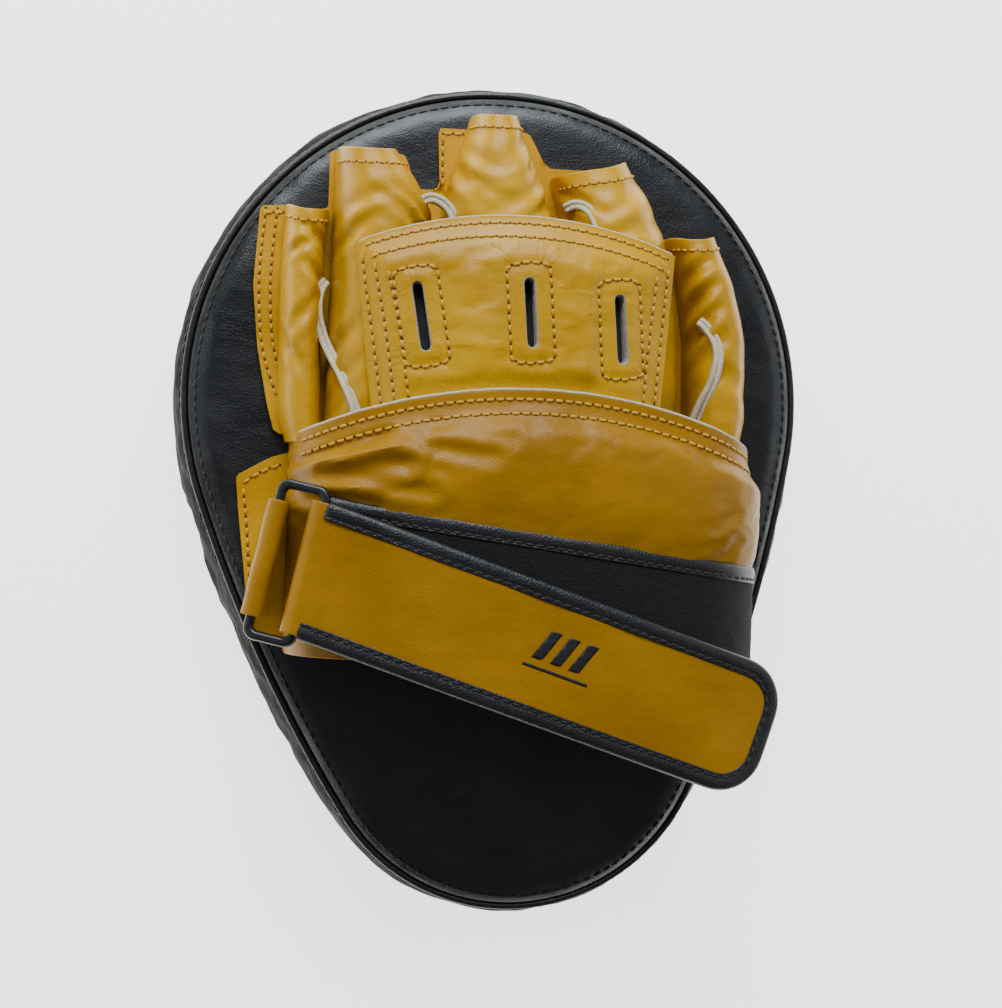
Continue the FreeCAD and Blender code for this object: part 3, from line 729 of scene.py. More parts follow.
def build_piping(name, node, z, inset):
    path = pad_ring(inset - 0.3, z)
    path[:, 2] += 0.18 * fractal(path, 14, 2, z)
    side = np.column_stack([EGG_NORMAL, np.zeros(PAD_COUNT)])
    up = np.tile([0.0, 0.0, 1.0], (PAD_COUNT, 1))
    turns = np.linspace(0, math.tau, 10)[:-1]
    profile = [(1.15 * math.cos(turn) + 0.15, 0.85 * math.sin(turn)) for turn in turns]
    settle(sweep(name, profile, path, side, up, BLACK, closed=True), "mitt", [node])


def build_pad():
    front, back = 16.0, 12.0
    turns = np.radians(np.linspace(42.5, 90.0, 9))
    under = [(front - front * math.cos(turn), front - front * math.sin(turn)) for turn in turns]
    rings = [pad_ring(inset, z) for inset, z in under + [(19, 0), (24, 0)]]
    skin("pad_striking_face", rings, 1.6, BLACK, "striking_face", shape_face, True)

    def back_inset(z):
        return back - math.sqrt(back ** 2 - (z - PAD_HEIGHT + back) ** 2)

    low = [(front - math.sqrt(front ** 2 - (front - z) ** 2), z) for z in np.linspace(6.4, front, 8)]
    straight = [(0.0, z) for z in np.linspace(17.5, 33, 11)]
    high = [(back_inset(z), z) for z in np.linspace(34.5, 40.4, 6)]
    rings = [pad_ring(inset, z) for inset, z in low + straight + high]
    gusset = skin("pad_gusset", rings, 1.5, WALL_BLACK, "side_gusset", shape_gusset)

    edge = [(back_inset(z), z) for z in np.linspace(42.0, 45.4, 6)] + [(9.8, 45.8)]
    level = [(inset, 46.0) for inset in (12, 15, 19, 24, 29)]
    rings = [pad_ring(inset, z) for inset, z in edge + level]
    panel = skin("pad_back_panel", rings, 1.5, BLACK, "back_panel", shape_back, True)

    build_piping("front_piping", "front_seam_welt", 5.7, 3.7)
    build_piping("back_piping", "back_seam_welt", 41.2, 2.5)

    from_side, from_above = [], []
    for j in np.arange(PAD_COUNT * 3) / 3:
        place, share = int(j), j % 1
        here = EGG[place] * (1 - share) + EGG[(place + 1) % PAD_COUNT] * share
        normal = EGG_NORMAL[place]
        from_side.append(((*(here + normal * 15), 39.0), (-normal[0], -normal[1], 0)))
        from_above.append(((*(here - normal * 5.6), 60.0), (0, 0, -1)))
    stitch_rows("pad_stitching", tree_of(gusset, panel), [from_side, from_above], 3.6, 0.42,
                BLACK_THREAD, INK)
    for node in ("foam_front_firm", "foam_middle", "foam_back_soft"):
        paint(node, FOAM)


def paint(node, material):
    """Gives a kept CAD node a better material."""
    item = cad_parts[node]
    for slot in item.material_slots:
        slot.material = material
    if not item.material_slots:
        item.data.materials.append(material)


# ---- flat leather pieces ----

def flat_leather(name, node, outline, low, high, radius, step, curl, seed):
    """A cut leather piece lying at height low to high; curl(points) lifts it."""
    outline = resample(round_corners(outline, radius), 1.6, closed=True)
    points, faces = plan_mesh(outline, (), step)
    base = np.column_stack([points, np.full(len(points), high)])
    lift = 0.12 * fractal(base, 11, 3, seed) + curl(points)
    top = base + np.column_stack([np.zeros((len(points), 2)), lift])
    piece = add_shell(name, top, top - [0, 0, high - low], faces, YELLOW, 0.25)
    settle(piece, "mitt", [node])
    return piece


def down_rays(points):
    return [((p[0], p[1], HIGH_ABOVE), (0, 0, -1)) for p in points]


def build_palm():
    palm = [(-72, -48), (75, -48), (75, 34), (66, 78), (60, 89), (46, 89), (33, 110), (8, 110), (2, 121.2),
            (-27.5, 121), (-26.5, 101), (-34, 101), (-38, 112), (-62, 112), (-62, 93), (-77.4, 93),
            (-77.4, 26), (-72, 20)]
    strip = [(-83.5, 93), (-85, 68), (-83, 48), (-79.4, 30), (-77.0, 21.5), (-73.6, 20.5), (-75.2, 93.4)]
    wing = [(-88.4, 7.3), (-87.4, -3), (-84.6, -25), (-82.5, -45), (-71.5, -45.6), (-71.2, 15.4), (-78, 13.2)]

    def no_curl(points):
        return 0.0

    def strip_curl(points):
        return 0.9 * ease(points[:, 0], -81, -74) + 0.25 * np.sin(points[:, 1] / 9)

    def wing_curl(points):
        corner = ease(points[:, 1], -8, 8) * ease(-points[:, 0], 76, 88)
        return 0.5 * corner + 0.2 * np.sin(points[:, 1] / 6)

    base = flat_leather("palm_leather", "palm_panel", palm, 46.1, 47.8, 1.2, 5.0, no_curl, 0.0)
    thumb = flat_leather("thumb_edge_strip", "thumb_strip", strip, 46.4, 49.0, 1.0, 3.0, strip_curl, 3.0)
    cuff = flat_leather("cuff_wing_leather", "cuff_wing", wing, 46.2, 47.8, 1.2, 3.0, wing_curl, 6.0)

    edge = [(-78.3, 32.8), (-83.3, 49.2), (-84.8, 69.9), (-83.4, 92.2)]
    seams = {
        "thumb_strip_stitching": (thumb, [
            [(x + 1.6, y) for x, y in edge],
            [(x + 5.2, y) for x, y in edge],
            [(-82.6, 90.8), (-79.5, 90.9), (-76.2, 91.0)],
        ]),
        "cuff_wing_stitching": (cuff, [
            [(-86.6, 4.6), (-80.5, 8.6), (-74.5, 11.0)],
            [(-86.0, 3.5), (-84.6, -8), (-83.1, -25), (-81.3, -43)],
        ]),
        "palm_stitching": (base, [
            [(-25.6, 102), (-25.9, 110), (-26.1, 119.2)],
            [(-26, 119.4), (-16, 119.5), (-6, 119.5)],
        ]),
    }
    for name, (piece, lines) in seams.items():
        stitch_rows(name, tree_of(piece), [down_rays(smooth_line(line, 1.0)) for line in lines])


# ---- finger sleeves ----

# Each row is (y, middle x, width, height); slant turns the open end; creases are (y, lean, depth, width, at).
SLEEVES = {
    "thumb": {
        "rows": [(18, -67.5, 11.5, 18), (27, -69.6, 13.4, 18), (60, -70.0, 13.6, 17.4),
                 (80, -69.6, 13.4, 16.4), (93, -68.8, 13.2, 15)],
        "slant": -0.5,
        "creases": [(85, 5, 1.5, 2.0, 1.2), (80, -4, 1.3, 1.8, 2.0), (74, 6, 1.2, 2.2, 1.0),
                    (58, -9, 0.9, 3.0, 1.6), (42, 8, 0.8, 3.0, 2.0)],
    },
    "index": {
        "rows": [(17, -51.5, 22, 21), (32, -46.8, 29.5, 25), (60, -45.4, 31.2, 25.4), (92, -45.2, 31.0, 25.6),
                 (103, -47.6, 25.5, 24), (112, -50.8, 17.6, 20.5)],
        "slant": 0.0,
        "creases": [(94, 12, 1.9, 2.4, 0.9), (88, 15, 1.5, 2.2, 0.7), (99, 10, 1.2, 2.6, 0.6),
                    (90, -10, 1.3, 2.4, 2.3), (96, -5, 0.8, 2.2, 2.0), (60, -12, 1.2, 3.0, 2.6),
                    (48, -14, 1.0, 2.6, 2.7), (38, -10, 0.9, 2.6, 2.7)],
    },
    "middle": {
        "rows": [(40, -8.2, 36, 27.6), (70, -8.2, 36.4, 28), (90, -8.3, 36.4, 28), (100, -9.2, 31.5, 27.4),
                 (113, -9.8, 21.5, 25.4), (124.4, -10.4, 13.6, 22)],
        "slant": 0.0,
        "creases": [(93, -11, 1.7, 2.6, 1.1), (97, -13, 1.4, 2.6, 0.8), (88, -8, 1.3, 2.4, 0.8),
                    (96, 9, 1.5, 2.4, 2.4), (90, 12, 1.2, 2.2, 2.6), (105, 5, 0.8, 2.6, 2.2),
                    (109, -6, 0.7, 3.0, 1.0)],
    },
    "ring_finger": {
        "rows": [(22.5, 34.0, 33.0, 22), (38, 32.8, 38.4, 26), (66, 31.6, 36.4, 26.4), (84, 30.0, 33.0, 26),
                 (96, 26.6, 29.0, 24.4), (109.5, 20.6, 22.6, 20.6)],
        "slant": 3.0,
        "creases": [(88, -9, 1.8, 2.6, 1.4), (94, -10, 1.5, 2.6, 1.2), (84, -8, 1.2, 2.4, 1.0),
                    (99, -7, 0.9, 2.4, 1.1), (92, 8, 1.2, 2.4, 2.4)],
    },
    "little": {
        "rows": [(15.5, 62.5, 18, 21), (30, 64.6, 18.8, 22), (56, 64.0, 19.2, 22), (74, 60.4, 17.6, 20.4),
                 (89.6, 55.0, 14.4, 17)],
        "slant": 0.6,
        "creases": [(80, -6, 1.4, 2.2, 1.9), (73, -8, 1.5, 2.4, 2.1), (66, -10, 1.2, 2.4, 2.2),
                    (56, -9, 0.9, 2.6, 2.0), (44, 6, 0.7, 3.2, 1.4)],
    },
}


def sleeve_grid(shape, rows, columns):
    """Points of a sleeve's surface, row by row from its base to its open end."""
    table = np.array(shape["rows"], float)
    y_line = np.linspace(table[0, 0], table[-1, 0], rows)
    values = []
    for column in (1, 2, 3):
        fine = np.linspace(table[0, 0] - 12, table[-1, 0] + 12, 400)
        raw = np.interp(fine, table[:, 0], table[:, column])
        kernel = np.hanning(31)
        smooth = np.convolve(np.pad(raw, 15, mode="edge"), kernel / kernel.sum(), mode="valid")
        values.append(np.interp(y_line, fine, smooth))
    middle, width, height = values
    turn = np.linspace(0, np.pi, columns)
    roundness = 2 / 2.45  # a superellipse, a little fuller than a circle
    cos = np.sign(np.cos(turn)) * np.abs(np.cos(turn)) ** roundness
    sin = np.abs(np.sin(turn)) ** roundness
    share = np.linspace(0, 1, rows)
    x = middle[:, None] + (width / 2)[:, None] * cos
    z = PALM_TOP + 0.05 + height[:, None] * sin
    y = y_line[:, None] + shape["slant"] * np.cos(turn) * ease(share, 0.4, 1)[:, None]
    y = y - 2.2 * ease(share, 0.7, 1)[:, None] * sin ** 2
    return np.stack([x, y, z], axis=-1), turn, share


def build_sleeves():
    pieces = []
    for order, (finger, shape) in enumerate(SLEEVES.items()):
        rows, columns = 58, 40
        grid, turn, share = sleeve_grid(shape, rows, columns)
        faces = grid_faces(rows, columns)
        flat = grid.reshape(-1, 3)
        normals = sheet_normals(flat, faces).reshape(grid.shape)
        centre = grid[:, columns // 2]
        if ((grid - centre[:, None] * [1, 1, 0]) * normals)[..., 2].mean() < 0:
            normals = -normals
        push = 0.36 * fractal(flat, (17, 22, 17), 2, order * 3.0).reshape(rows, columns)
        lines = np.abs(fractal(flat, (17, 5.5, 17), 2, order * 5.0 + 1)).reshape(rows, columns)
        push -= 0.20 * np.exp(-(lines / 0.09) ** 2) * (1 - 0.6 * ease(share, 0.75, 0.9))[:, None]
        for y_at, lean, depth, width, at in shape["creases"]:
            line = y_at + lean * (turn[None, :] - np.pi / 2)
            across = (grid[..., 1] - line) / width
            window = np.exp(-((turn[None, :] - at) / 0.62) ** 2)
            banks = 0.5 * np.exp(-((np.abs(across) - 1.7) / 0.9) ** 2)
            push -= depth * window * (np.exp(-across ** 2) - banks)
        sewn = np.minimum(ease(turn, 0, 0.35), ease(np.pi - turn, 0, 0.35))[None, :]
        hem = 0.3 * ease(share, 0.93, 0.945)[:, None]
        push = push * sewn * (1 - 0.6 * ease(share, 0.9, 0.96))[:, None] + hem
        top = grid + normals * push[..., None]
        under = top - normals * (1.5 + hem[..., None] * 1.2)
        under[..., 2] = np.maximum(under[..., 2], PALM_TOP + 0.02)
        top[..., 2] = np.maximum(top[..., 2], PALM_TOP + 0.05)
        name = "thumb_sleeve" if finger == "thumb" else f"{finger}_sleeve"
        piece = add_shell(f"{name}_leather", top.reshape(-1, 3), under.reshape(-1, 3), faces, YELLOW, 0.35)
        settle(piece, "mitt", [name])
        pieces.append(piece)
        hem_row = int(rows * 0.945)
        rays = [(tuple(top[hem_row, k] + normals[hem_row, k] * 6), tuple(-normals[hem_row, k]))
                for k in range(4, columns - 4)]
        stitch_rows(f"{name}_hem_stitching", tree_of(piece), [rays], 3.0, 0.45)
    return pieces


def welt_band(name, path, node, tree, height=7.0, lift=1.4):
    """Raw leather edges standing in a seam, their tops following the sleeves below them."""
    line = smooth_line(path, 1.5)
    hits = [drop(tree, *ray) for ray in down_rays(line)]
    heights = np.array([hit[0][2] if hit else np.nan for hit in hits])
    known = ~np.isnan(heights)
    heights = np.interp(np.arange(len(heights)), np.nonzero(known)[0], heights[known])
    for _ in range(3):
        heights = np.convolve(np.pad(heights, 4, mode="edge"), np.ones(9) / 9, mode="valid")
    rise = lift * np.sin(np.linspace(0.18, np.pi - 0.18, len(line)))
    points = np.column_stack([line[:, :2], heights + rise])
    points[:, 0] += 0.12 * fractal(points, 6, 2, 3.0)
    tangent = unit(np.gradient(points, axis=0))
    side = unit(np.column_stack([-tangent[:, 1], tangent[:, 0], np.zeros(len(points))]))
    up = unit(np.cross(tangent, side))
    up *= np.sign(up[:, 2:3])
    half = 1.7
    profile = [(-half, 0.2), (-half * 0.92, 0.75), (-half * 0.5, 1.0), (-half * 0.12, 0.75), (0, 0.15),
               (half * 0.12, 0.75), (half * 0.5, 1.0), (half * 0.92, 0.75), (half, 0.2),
               (half * 0.8, -height), (-half * 0.8, -height)]
    settle(sweep(name, profile, points, side, up, RAW), "mitt", [node])


def build_welts(sleeves):
    tree = tree_of(*sleeves)
    thumb_index = [(-62.3, 69.5), (-64.4, 66.5), (-65.2, 60), (-63.4, 52), (-60.4, 45.5), (-56.6, 37.5),
                   (-53.6, 30.5), (-52.6, 25)]
    ring_little = [(55.4, 61.5), (58.4, 58.6), (61.0, 54), (61.6, 49), (60.4, 42.5), (58.0, 35.5),
                   (56.2, 29), (55.4, 23)]
    index_middle = [(-34.2, 94.6), (-31.0, 96.2), (-27.2, 94.8), (-24.2, 91.4), (-22.6, 86.0)]
    middle_ring = [(11.2, 94.6), (14.4, 96.2), (18.0, 94.8), (20.4, 91.0), (21.6, 85.4)]
    welt_band("thumb_index_welt", thumb_index, "welt_thumb_index", tree, lift=2.1)
    welt_band("ring_little_welt", ring_little, "welt_ring_little", tree)
    welt_band("index_middle_welt", index_middle, "welt_index_middle", tree, 6.0, 1.2)
    welt_band("middle_ring_welt", middle_ring, "welt_middle_ring", tree, 6.0, 1.2)


# ---- arch over the hand ----

TOP_ANGLE = math.asin((ARCH_HALF - ARCH_CORNER) / (ARCH_RADIUS - ARCH_CORNER))
TOP_LENGTH = ARCH_RADIUS * TOP_ANGLE
CORNER_LENGTH = ARCH_CORNER * (math.pi / 2 - TOP_ANGLE)
# The hand-back panel's upper edge and the knuckle panel's: (x of the crest, y of the crest, radius).
COVER_EDGE = (ARCH_MIDDLE, 36.0, 176.0)
KNUCKLE_EDGE = (-4.5, 89.6, 140.0)
CORNER_Z = ARCH_TOP - ARCH_RADIUS + (ARCH_RADIUS - ARCH_CORNER) * math.cos(TOP_ANGLE)
WALL_LENGTH = CORNER_Z - PALM_TOP
ARCH_REACH = TOP_LENGTH + CORNER_LENGTH + WALL_LENGTH


def arch_at(s):
    """Middle-line coordinate s along the arch to (x, z, normal x, normal z)."""
    s = np.asarray(s, float)
    side, run = np.sign(s), np.abs(s)
    angle = np.where(run < TOP_LENGTH, run / ARCH_RADIUS,
                     np.minimum(TOP_ANGLE + (run - TOP_LENGTH) / ARCH_CORNER, math.pi / 2))
    wall = np.maximum(run - TOP_LENGTH - CORNER_LENGTH, 0)
    on_top = run < TOP_LENGTH
    x = np.where(on_top, ARCH_RADIUS * np.sin(angle), ARCH_HALF - ARCH_CORNER + ARCH_CORNER * np.sin(angle))
    z = np.where(on_top, ARCH_TOP - ARCH_RADIUS + ARCH_RADIUS * np.cos(angle),
                 CORNER_Z + ARCH_CORNER * np.cos(angle)) - wall
    return ARCH_MIDDLE + side * x, z, side * np.sin(angle), np.cos(angle)


def arch_from_x(x):
    """The coordinate s of a plan position x on the upper part of the arch."""
    reach = np.asarray(x, float) - ARCH_MIDDLE
    side, run = np.sign(reach), np.abs(reach)
    top = ARCH_RADIUS * np.arcsin(np.clip(run / ARCH_RADIUS, 0, 1))
    bend = np.clip((run - ARCH_HALF + ARCH_CORNER) / ARCH_CORNER, 0, 1)
    corner = TOP_LENGTH + ARCH_CORNER * (np.arcsin(bend) - TOP_ANGLE)
    return side * np.where(run < ARCH_RADIUS * math.sin(TOP_ANGLE), top, corner)


def arch_points(s, y, depth):
    """Points at a depth below the arch surface, and outward normals."""
    x, z, nx, nz = arch_at(s)
    normals = np.column_stack([nx, np.zeros_like(nx), nz])
    return np.column_stack([x, y, z]) - normals * np.asarray(depth)[..., None], normals


def crest(x, crest_x, crest_y, radius):
    """Height in plan of a circular edge that is highest at its crest."""
    return crest_y - radius + np.sqrt(np.maximum(radius ** 2 - (x - crest_x) ** 2, 1))


def arch_rays(plan):
    """Rays towards the arch at plan points (x, y)."""
    plan = np.asarray(plan, float)
    points, normals = arch_points(arch_from_x(plan[:, 0]), plan[:, 1], np.full(len(plan), -14.0))
    return [(tuple(p), tuple(-n)) for p, n in zip(points, normals)]


def hand_back_sheet(rows, columns, low_y, crest_y, radius, reach):
    """Plan coordinates (s, y) of a sheet over the back of the hand."""
    s = np.linspace(-reach, reach, columns)
    x = arch_at(s)[0]
    high = crest(x, ARCH_MIDDLE, crest_y, radius)
    share = np.linspace(0, 1, rows)[:, None]
    share = share + 0.06 * np.sin(share * np.pi * 2) * 0.5
    y = low_y + (high[None, :] - low_y) * share
    return np.tile(s, (rows, 1)).ravel(), y.ravel(), np.tile(high, (rows, 1)).ravel()


def build_hand_back():
    rows, columns = 62, 110
    faces = grid_faces(rows, columns)
    s, y, edge = hand_back_sheet(rows, columns, -48.0, *COVER_EDGE[1:], ARCH_REACH)
    base, normals = arch_points(s, y, np.zeros(len(s)))
    below = edge - y
    strap_line = crest(base[:, 0], 0, -11.0, 2000) - 0.13 * (base[:, 0] + 62)
    bulge = 4.6 * ease(below, 6.5, 14) * (1 - ease(strap_line - y, -26, 1))
    bulge *= 1 - 0.75 * ease(-base[:, 0], 48, 72)
    bulge *= 0.35 + 0.65 * ease(ARCH_REACH - np.abs(s), 0, 22)
    bulge += 1.1 * ease(below, 3.6, 6.5) * (1 - ease(below, 6.5, 8.5)) * 0.6
    folds = np.zeros(len(s))
    for x_a, y_a, x_b, y_b, depth, width in (
            (-72, 12, -44, 21, 1.5, 2.4), (-72, 6, -38, 12, 1.3, 2.8), (-71, 16, -55, 24, 1.0, 1.8),
            (-70, 2, -46, -1, 1.0, 2.6), (-38, 20, -12, 15, 0.6, 2.6), (-30, 24, -6, 21, 0.45, 2.0),
            (-60, 8, -30, 4, 0.7, 2.4)):
        away = to_line(base[:, :2], [(x_a, y_a), (x_b, y_b)], closed=False) / width
        folds -= depth * (np.exp(-away ** 2) - 0.55 * np.exp(-((away - 1.7) / 0.8) ** 2))
    free = ease(below, 5.5, 10) * (1 - ease(strap_line - y, -10, 0))
    waves = 0.35 * fractal(base, (22, 14, 22), 3, 1.0) + 0.12 * fractal(base, (6, 5, 6), 2, 4.0)
    top = base + normals * (bulge + free * (folds + waves))[:, None]
    held = (below < 6.5) | (strap_line - y > -2) | (ARCH_REACH - np.abs(s) < 4)
    top = puff("hand_back_cloth", top, faces, held, 3.0, 0.010, 1.3, 16)
    # The panel takes the darker copy of the yellow leather: painted shade.
    panel = add_shell("hand_back_leather", top, base - normals * 1.6, faces, SHADED_YELLOW)
    settle(panel, "mitt", ["hand_back_panel"])

    for name, node, depth, thick, low_y, material, slot in (
            ("hand_back_felt", "hand_back_padding", 1.8, 4.4, -45.5, FELT, "felt"),
            ("hand_back_inner_lining", "hand_back_lining", 6.4, 1.0, -46.5, LINING, "lining")):
        s, y, _ = hand_back_sheet(30, 80, low_y, 27.5, 168.0, ARCH_REACH - 0.5)
        upper, out = arch_points(s, y, np.full(len(s), depth))
        lower, _ = arch_points(s, y, np.full(len(s), depth + thick))
        ripple = (0.18 * fractal(upper, 9, 2, depth))[:, None] * out
        layer = add_shell(name, upper, lower + np.clip(ripple, -0.2, 0.2), grid_faces(30, 80), material)
        settle(layer, "mitt", [node])

    # The cut edge of the leather shows cream along the top.
    x_line = np.linspace(-70.5, 73.5, 90)
    s_line = arch_from_x(x_line)
    high = crest(x_line, *COVER_EDGE)
    points, out = arch_points(s_line, high, np.full(90, 0.75))
    side = unit(np.cross(unit(np.gradient(points, axis=0)), out))
    if side[45, 1] < 0:
        side = -side
    points[:, 1] += 0.15 * fractal(points, 7, 2, 6.0)
    profile = [(-0.3, -0.8), (0.45, -0.75), (0.62, -0.2), (0.62, 0.45), (0.4, 0.86), (-0.5, 0.84)]
    edge = sweep("hand_back_cut_edge", profile, points, side, out, RAW)
    settle(edge, "mitt", ())

    seams = []
    for gap in (3.0, 7.4):
        xs = np.linspace(-69, 72.5, 160)
        seams.append(arch_rays(np.column_stack([xs, crest(xs, *COVER_EDGE) - gap])))
    stitch_rows("hand_back_stitching", tree_of(panel), seams)


# ---- knuckle panel ----

SLOTS = ((-34.8, 57.2, -10.0), (-1.4, 59.5, -5.0), (27.4, 55.8, -5.0))  # x, y and lean in degrees
SLOT_LENGTH, SLOT_WIDTH = 22.0, 3.8


def slot_outline(x, y, lean, grow=0.0, steps=6):
    """A vent slot with round ends, wider all over by grow."""
    return long_outline(x, y, lean, SLOT_LENGTH + grow, SLOT_WIDTH + grow, steps, 1.0)


def slot_box(x, y, lean):
    """The stitched box round a vent slot."""
    return long_outline(x, y, lean, 31.0, 13.6, 5, 0.25)


def long_outline(x, y, lean, length, width, steps, rounding):
    """A long shape that leans by that many degrees; rounding 1 gives half circles as its ends."""
    out = []
    reach = width / 2 * rounding
    for end, start in ((1, 0.0), (-1, math.pi)):
        for t in np.linspace(0, math.pi, steps):
            out.append((width / 2 * math.cos(start + t),
                        end * (length / 2 - reach) + reach * math.sin(start + t)))
    turn = math.radians(-lean)
    return [(x + math.cos(turn) * px - math.sin(turn) * py, y + math.sin(turn) * px + math.cos(turn) * py)
            for px, py in out]


def knuckle_outline(inset=0.0, bottom=0.0):
    """Outline of the knuckle panel, with its top and sides moved in."""
    xs = np.linspace(46 - inset, -56.6 + inset, 30)
    upper = [(x, crest(x, *KNUCKLE_EDGE) - inset) for x in xs]
    xs = np.linspace(-48.5 + inset * 0.9, 42 - inset * 0.9, 24)
    lower = [(x, crest(x, 1.5, 28.5, 168.5) + bottom) for x in xs]
    return np.array(upper + lower)


def knuckle_shape(plan, margin, cover_edge):
    """How deep each point of the knuckle leather lies below the arch."""
    clear = ease(plan[:, 1] - cover_edge, 0.5, 7)
    at = np.column_stack([plan, np.zeros(len(plan))])
    ripples = fractal(at, (30, 4.6, 1), 3, 2.0)
    between = np.zeros(len(plan))
    boxed = np.zeros(len(plan))
    for x, y, lean in SLOTS:
        hem = to_line(plan, slot_box(x, y, lean))
        hole = to_line(plan, slot_outline(x, y, lean))
        boxed += 0.55 * np.exp(-(hem / 1.3) ** 2) - 0.25 * np.exp(-((hole - 1.8) / 1.6) ** 2)
        between += np.exp(-((plan[:, 0] - x) / 10) ** 2)
    ridge_x = 17.6 + 0.03 * (plan[:, 1] - 60)
    ridge = np.exp(-((plan[:, 0] - ridge_x) / 1.9) ** 2)
    ridge = ridge * ease(plan[:, 1], 30, 42) * (1 - ease(plan[:, 1], 74, 82))
    step = ease(ridge_x - plan[:, 0], -1.6, 2.0) * ease(plan[:, 0], -28, -16)
    padding = 0.9 + 0.85 * ridge + 0.8 * step + (0.55 - 0.35 * np.clip(between, 0, 1)) * ripples
    raised = clear * ease(margin, 9, 15) * padding
    raised += clear * (0.10 * fractal(at, (9, 7, 1), 3, 6.0) - boxed)
    hems = np.exp(-((margin - 3.9) / 1.2) ** 2) + np.exp(-((margin - 9.2) / 1.2) ** 2) * 0.8
    raised += clear * 0.25 * hems
    return knuckle_depth(margin) - np.where(plan[:, 1] > cover_edge, raised, np.minimum(raised, 0))


def knuckle_depth(margin):
    """The knuckle panel dips below the arch towards its edges."""
    return 1.9 + 4.0 * (1 - ease(margin, 0, 10.5))


def build_knuckles():
    outline = resample(knuckle_outline(), 1.7, closed=True)
    plan, faces = plan_mesh(outline, [slot_outline(*slot) for slot in SLOTS], 1.9)
    cover_edge = crest(plan[:, 0], *COVER_EDGE)
    upper_seam = knuckle_outline()[:30]
    sides = [np.array([(-56.6, 79.8), (-48.5, 21)]), np.array([(46, 79.5), (42, 23)])]
    margin = np.min([to_line(plan, line, closed=False) for line in (upper_seam, *sides)], axis=0)
    s = arch_from_x(plan[:, 0])
    top, _ = arch_points(s, plan[:, 1], knuckle_shape(plan, margin, cover_edge))
    under, _ = arch_points(s, plan[:, 1], knuckle_depth(margin) + 1.6)
    held = (margin < 9) | (plan[:, 1] - cover_edge < 3)
    for slot in SLOTS:
        held |= to_line(plan, slot_box(*slot)) < 1.2
        held |= to_line(plan, slot_outline(*slot)) < 4.5
    top = puff("knuckle_cloth", top, faces, held, 1.5, 0.012, 0.7, 12)
    panel = add_shell("knuckle_leather", top, under, faces, YELLOW, 0.2)
    settle(panel, "mitt", ["knuckle_panel"])

    felt_slots = [slot_outline(*slot, -0.8) for slot in SLOTS]
    build_knuckle_layer("knuckle_felt", "knuckle_padding", 3.7, 3.0, felt_slots, FELT)
    build_knuckle_layer("knuckle_inner_lining", "knuckle_lining", 6.8, 0.9, [], LINING)
    build_slot_edges(panel)
    stitch_knuckles(panel)

    xs = np.linspace(-56.2, 45.6, 60)
    points, out = arch_points(arch_from_x(xs), crest(xs, *KNUCKLE_EDGE), np.full(60, 6.6))
    side = unit(np.cross(unit(np.gradient(points, axis=0)), out))
    side *= np.sign(side[:, 1:2])
    profile = [(-0.3, -0.7), (0.35, -0.65), (0.5, 0.0), (0.35, 0.72), (-0.3, 0.74)]
    edge = sweep("knuckle_cut_edge", profile, points, side, out, RAW)
    settle(edge, "mitt", ())


def build_knuckle_layer(name, node, level, thick, cuts, material):
    outline = resample(knuckle_outline(10.5, 1.5), 2.0, closed=True)
    plan, faces = plan_mesh(outline, cuts, 3.0)
    s = arch_from_x(plan[:, 0])
    ripple = 0.12 * fractal(np.column_stack([plan, plan[:, 0] * 0]), 5, 2, level)
    upper, _ = arch_points(s, plan[:, 1], np.full(len(plan), level))
    lower, _ = arch_points(s, plan[:, 1], np.full(len(plan), level + thick) + ripple)
    settle(add_shell(name, upper, lower, faces, material, 0.2), "mitt", [node])


def build_slot_edges(panel):
    """The pale cut edge of the leather all round each slot."""
    tree = tree_of(panel)
    for number, (x, y, lean) in enumerate(SLOTS, start=1):
        ring = resample(np.array(slot_outline(x, y, lean, 0.3, 8)), 0.9, closed=True)
        hits = [drop(tree, *ray) for ray in arch_rays((ring - [x, y]) * [1.25, 1.06] + [x, y])]
        points, out = arch_points(arch_from_x(ring[:, 0]), ring[:, 1], np.zeros(len(ring)))
        heights = [(hit[0] - point) @ up if hit else -1.5 for hit, point, up in zip(hits, points, out)]
        points += out * (np.median(heights) - 0.9)
        tangent = unit(np.roll(points, -1, axis=0) - np.roll(points, 1, axis=0))
        side = unit(np.cross(tangent, out))
        centre = points.mean(axis=0)
        side *= np.sign(((points - centre) * side).sum(axis=1))[:, None]
        profile = [(0.35, -2.6), (0.35, 0.3), (0.2, 0.75), (-0.15, 0.9), (-0.5, 0.5), (-0.6, -0.4),
                   (-0.55, -2.6)]
        edge = sweep(f"slot_edge_{number}", profile, points, side, out, FELT, closed=True)
        settle(edge, "mitt", ())


def stitch_knuckles(panel):
    rows = []

    def row(points):
        line = smooth_line(points, 1.2)
        keep = line[:, 1] > crest(line[:, 0], *COVER_EDGE) + 0.6
        rows.append(arch_rays(line[keep]))

    for gap in (2.2, 6.6):
        xs = np.linspace(-55 + gap * 0.6, 44.6 - gap * 0.5, 16)
        row([(x, crest(x, *KNUCKLE_EDGE) - gap) for x in xs])
    left = np.array([-56.6, 79.8]), np.array([-47.9, 24.0]), (2.4, 6.8, 11.2)
    right = np.array([46.0, 79.5]), np.array([42.0, 24.0]), (-2.4, -7.0)
    for high, low, gaps in (left, right):
        for gap in gaps:
            shift = np.array([gap, 0])
            row([high + shift - [0, 2 + abs(gap) * 0.6], (high + low) / 2 + shift, low + shift])
    for slot in SLOTS:
        box_line = resample(slot_box(*slot), 1.2, closed=True)
        rows.append(arch_rays(np.vstack([box_line, box_line[:1]])))
    stitch_rows("knuckle_stitching", tree_of(panel), rows)


# ---- wrist strap ----

# The run leaves the arch at LIFT_FROM and goes straight on to its end at the ring.
LEFT_END, LEFT_END_Z = -66.4, 78.0
LIFT_FROM = -48.0


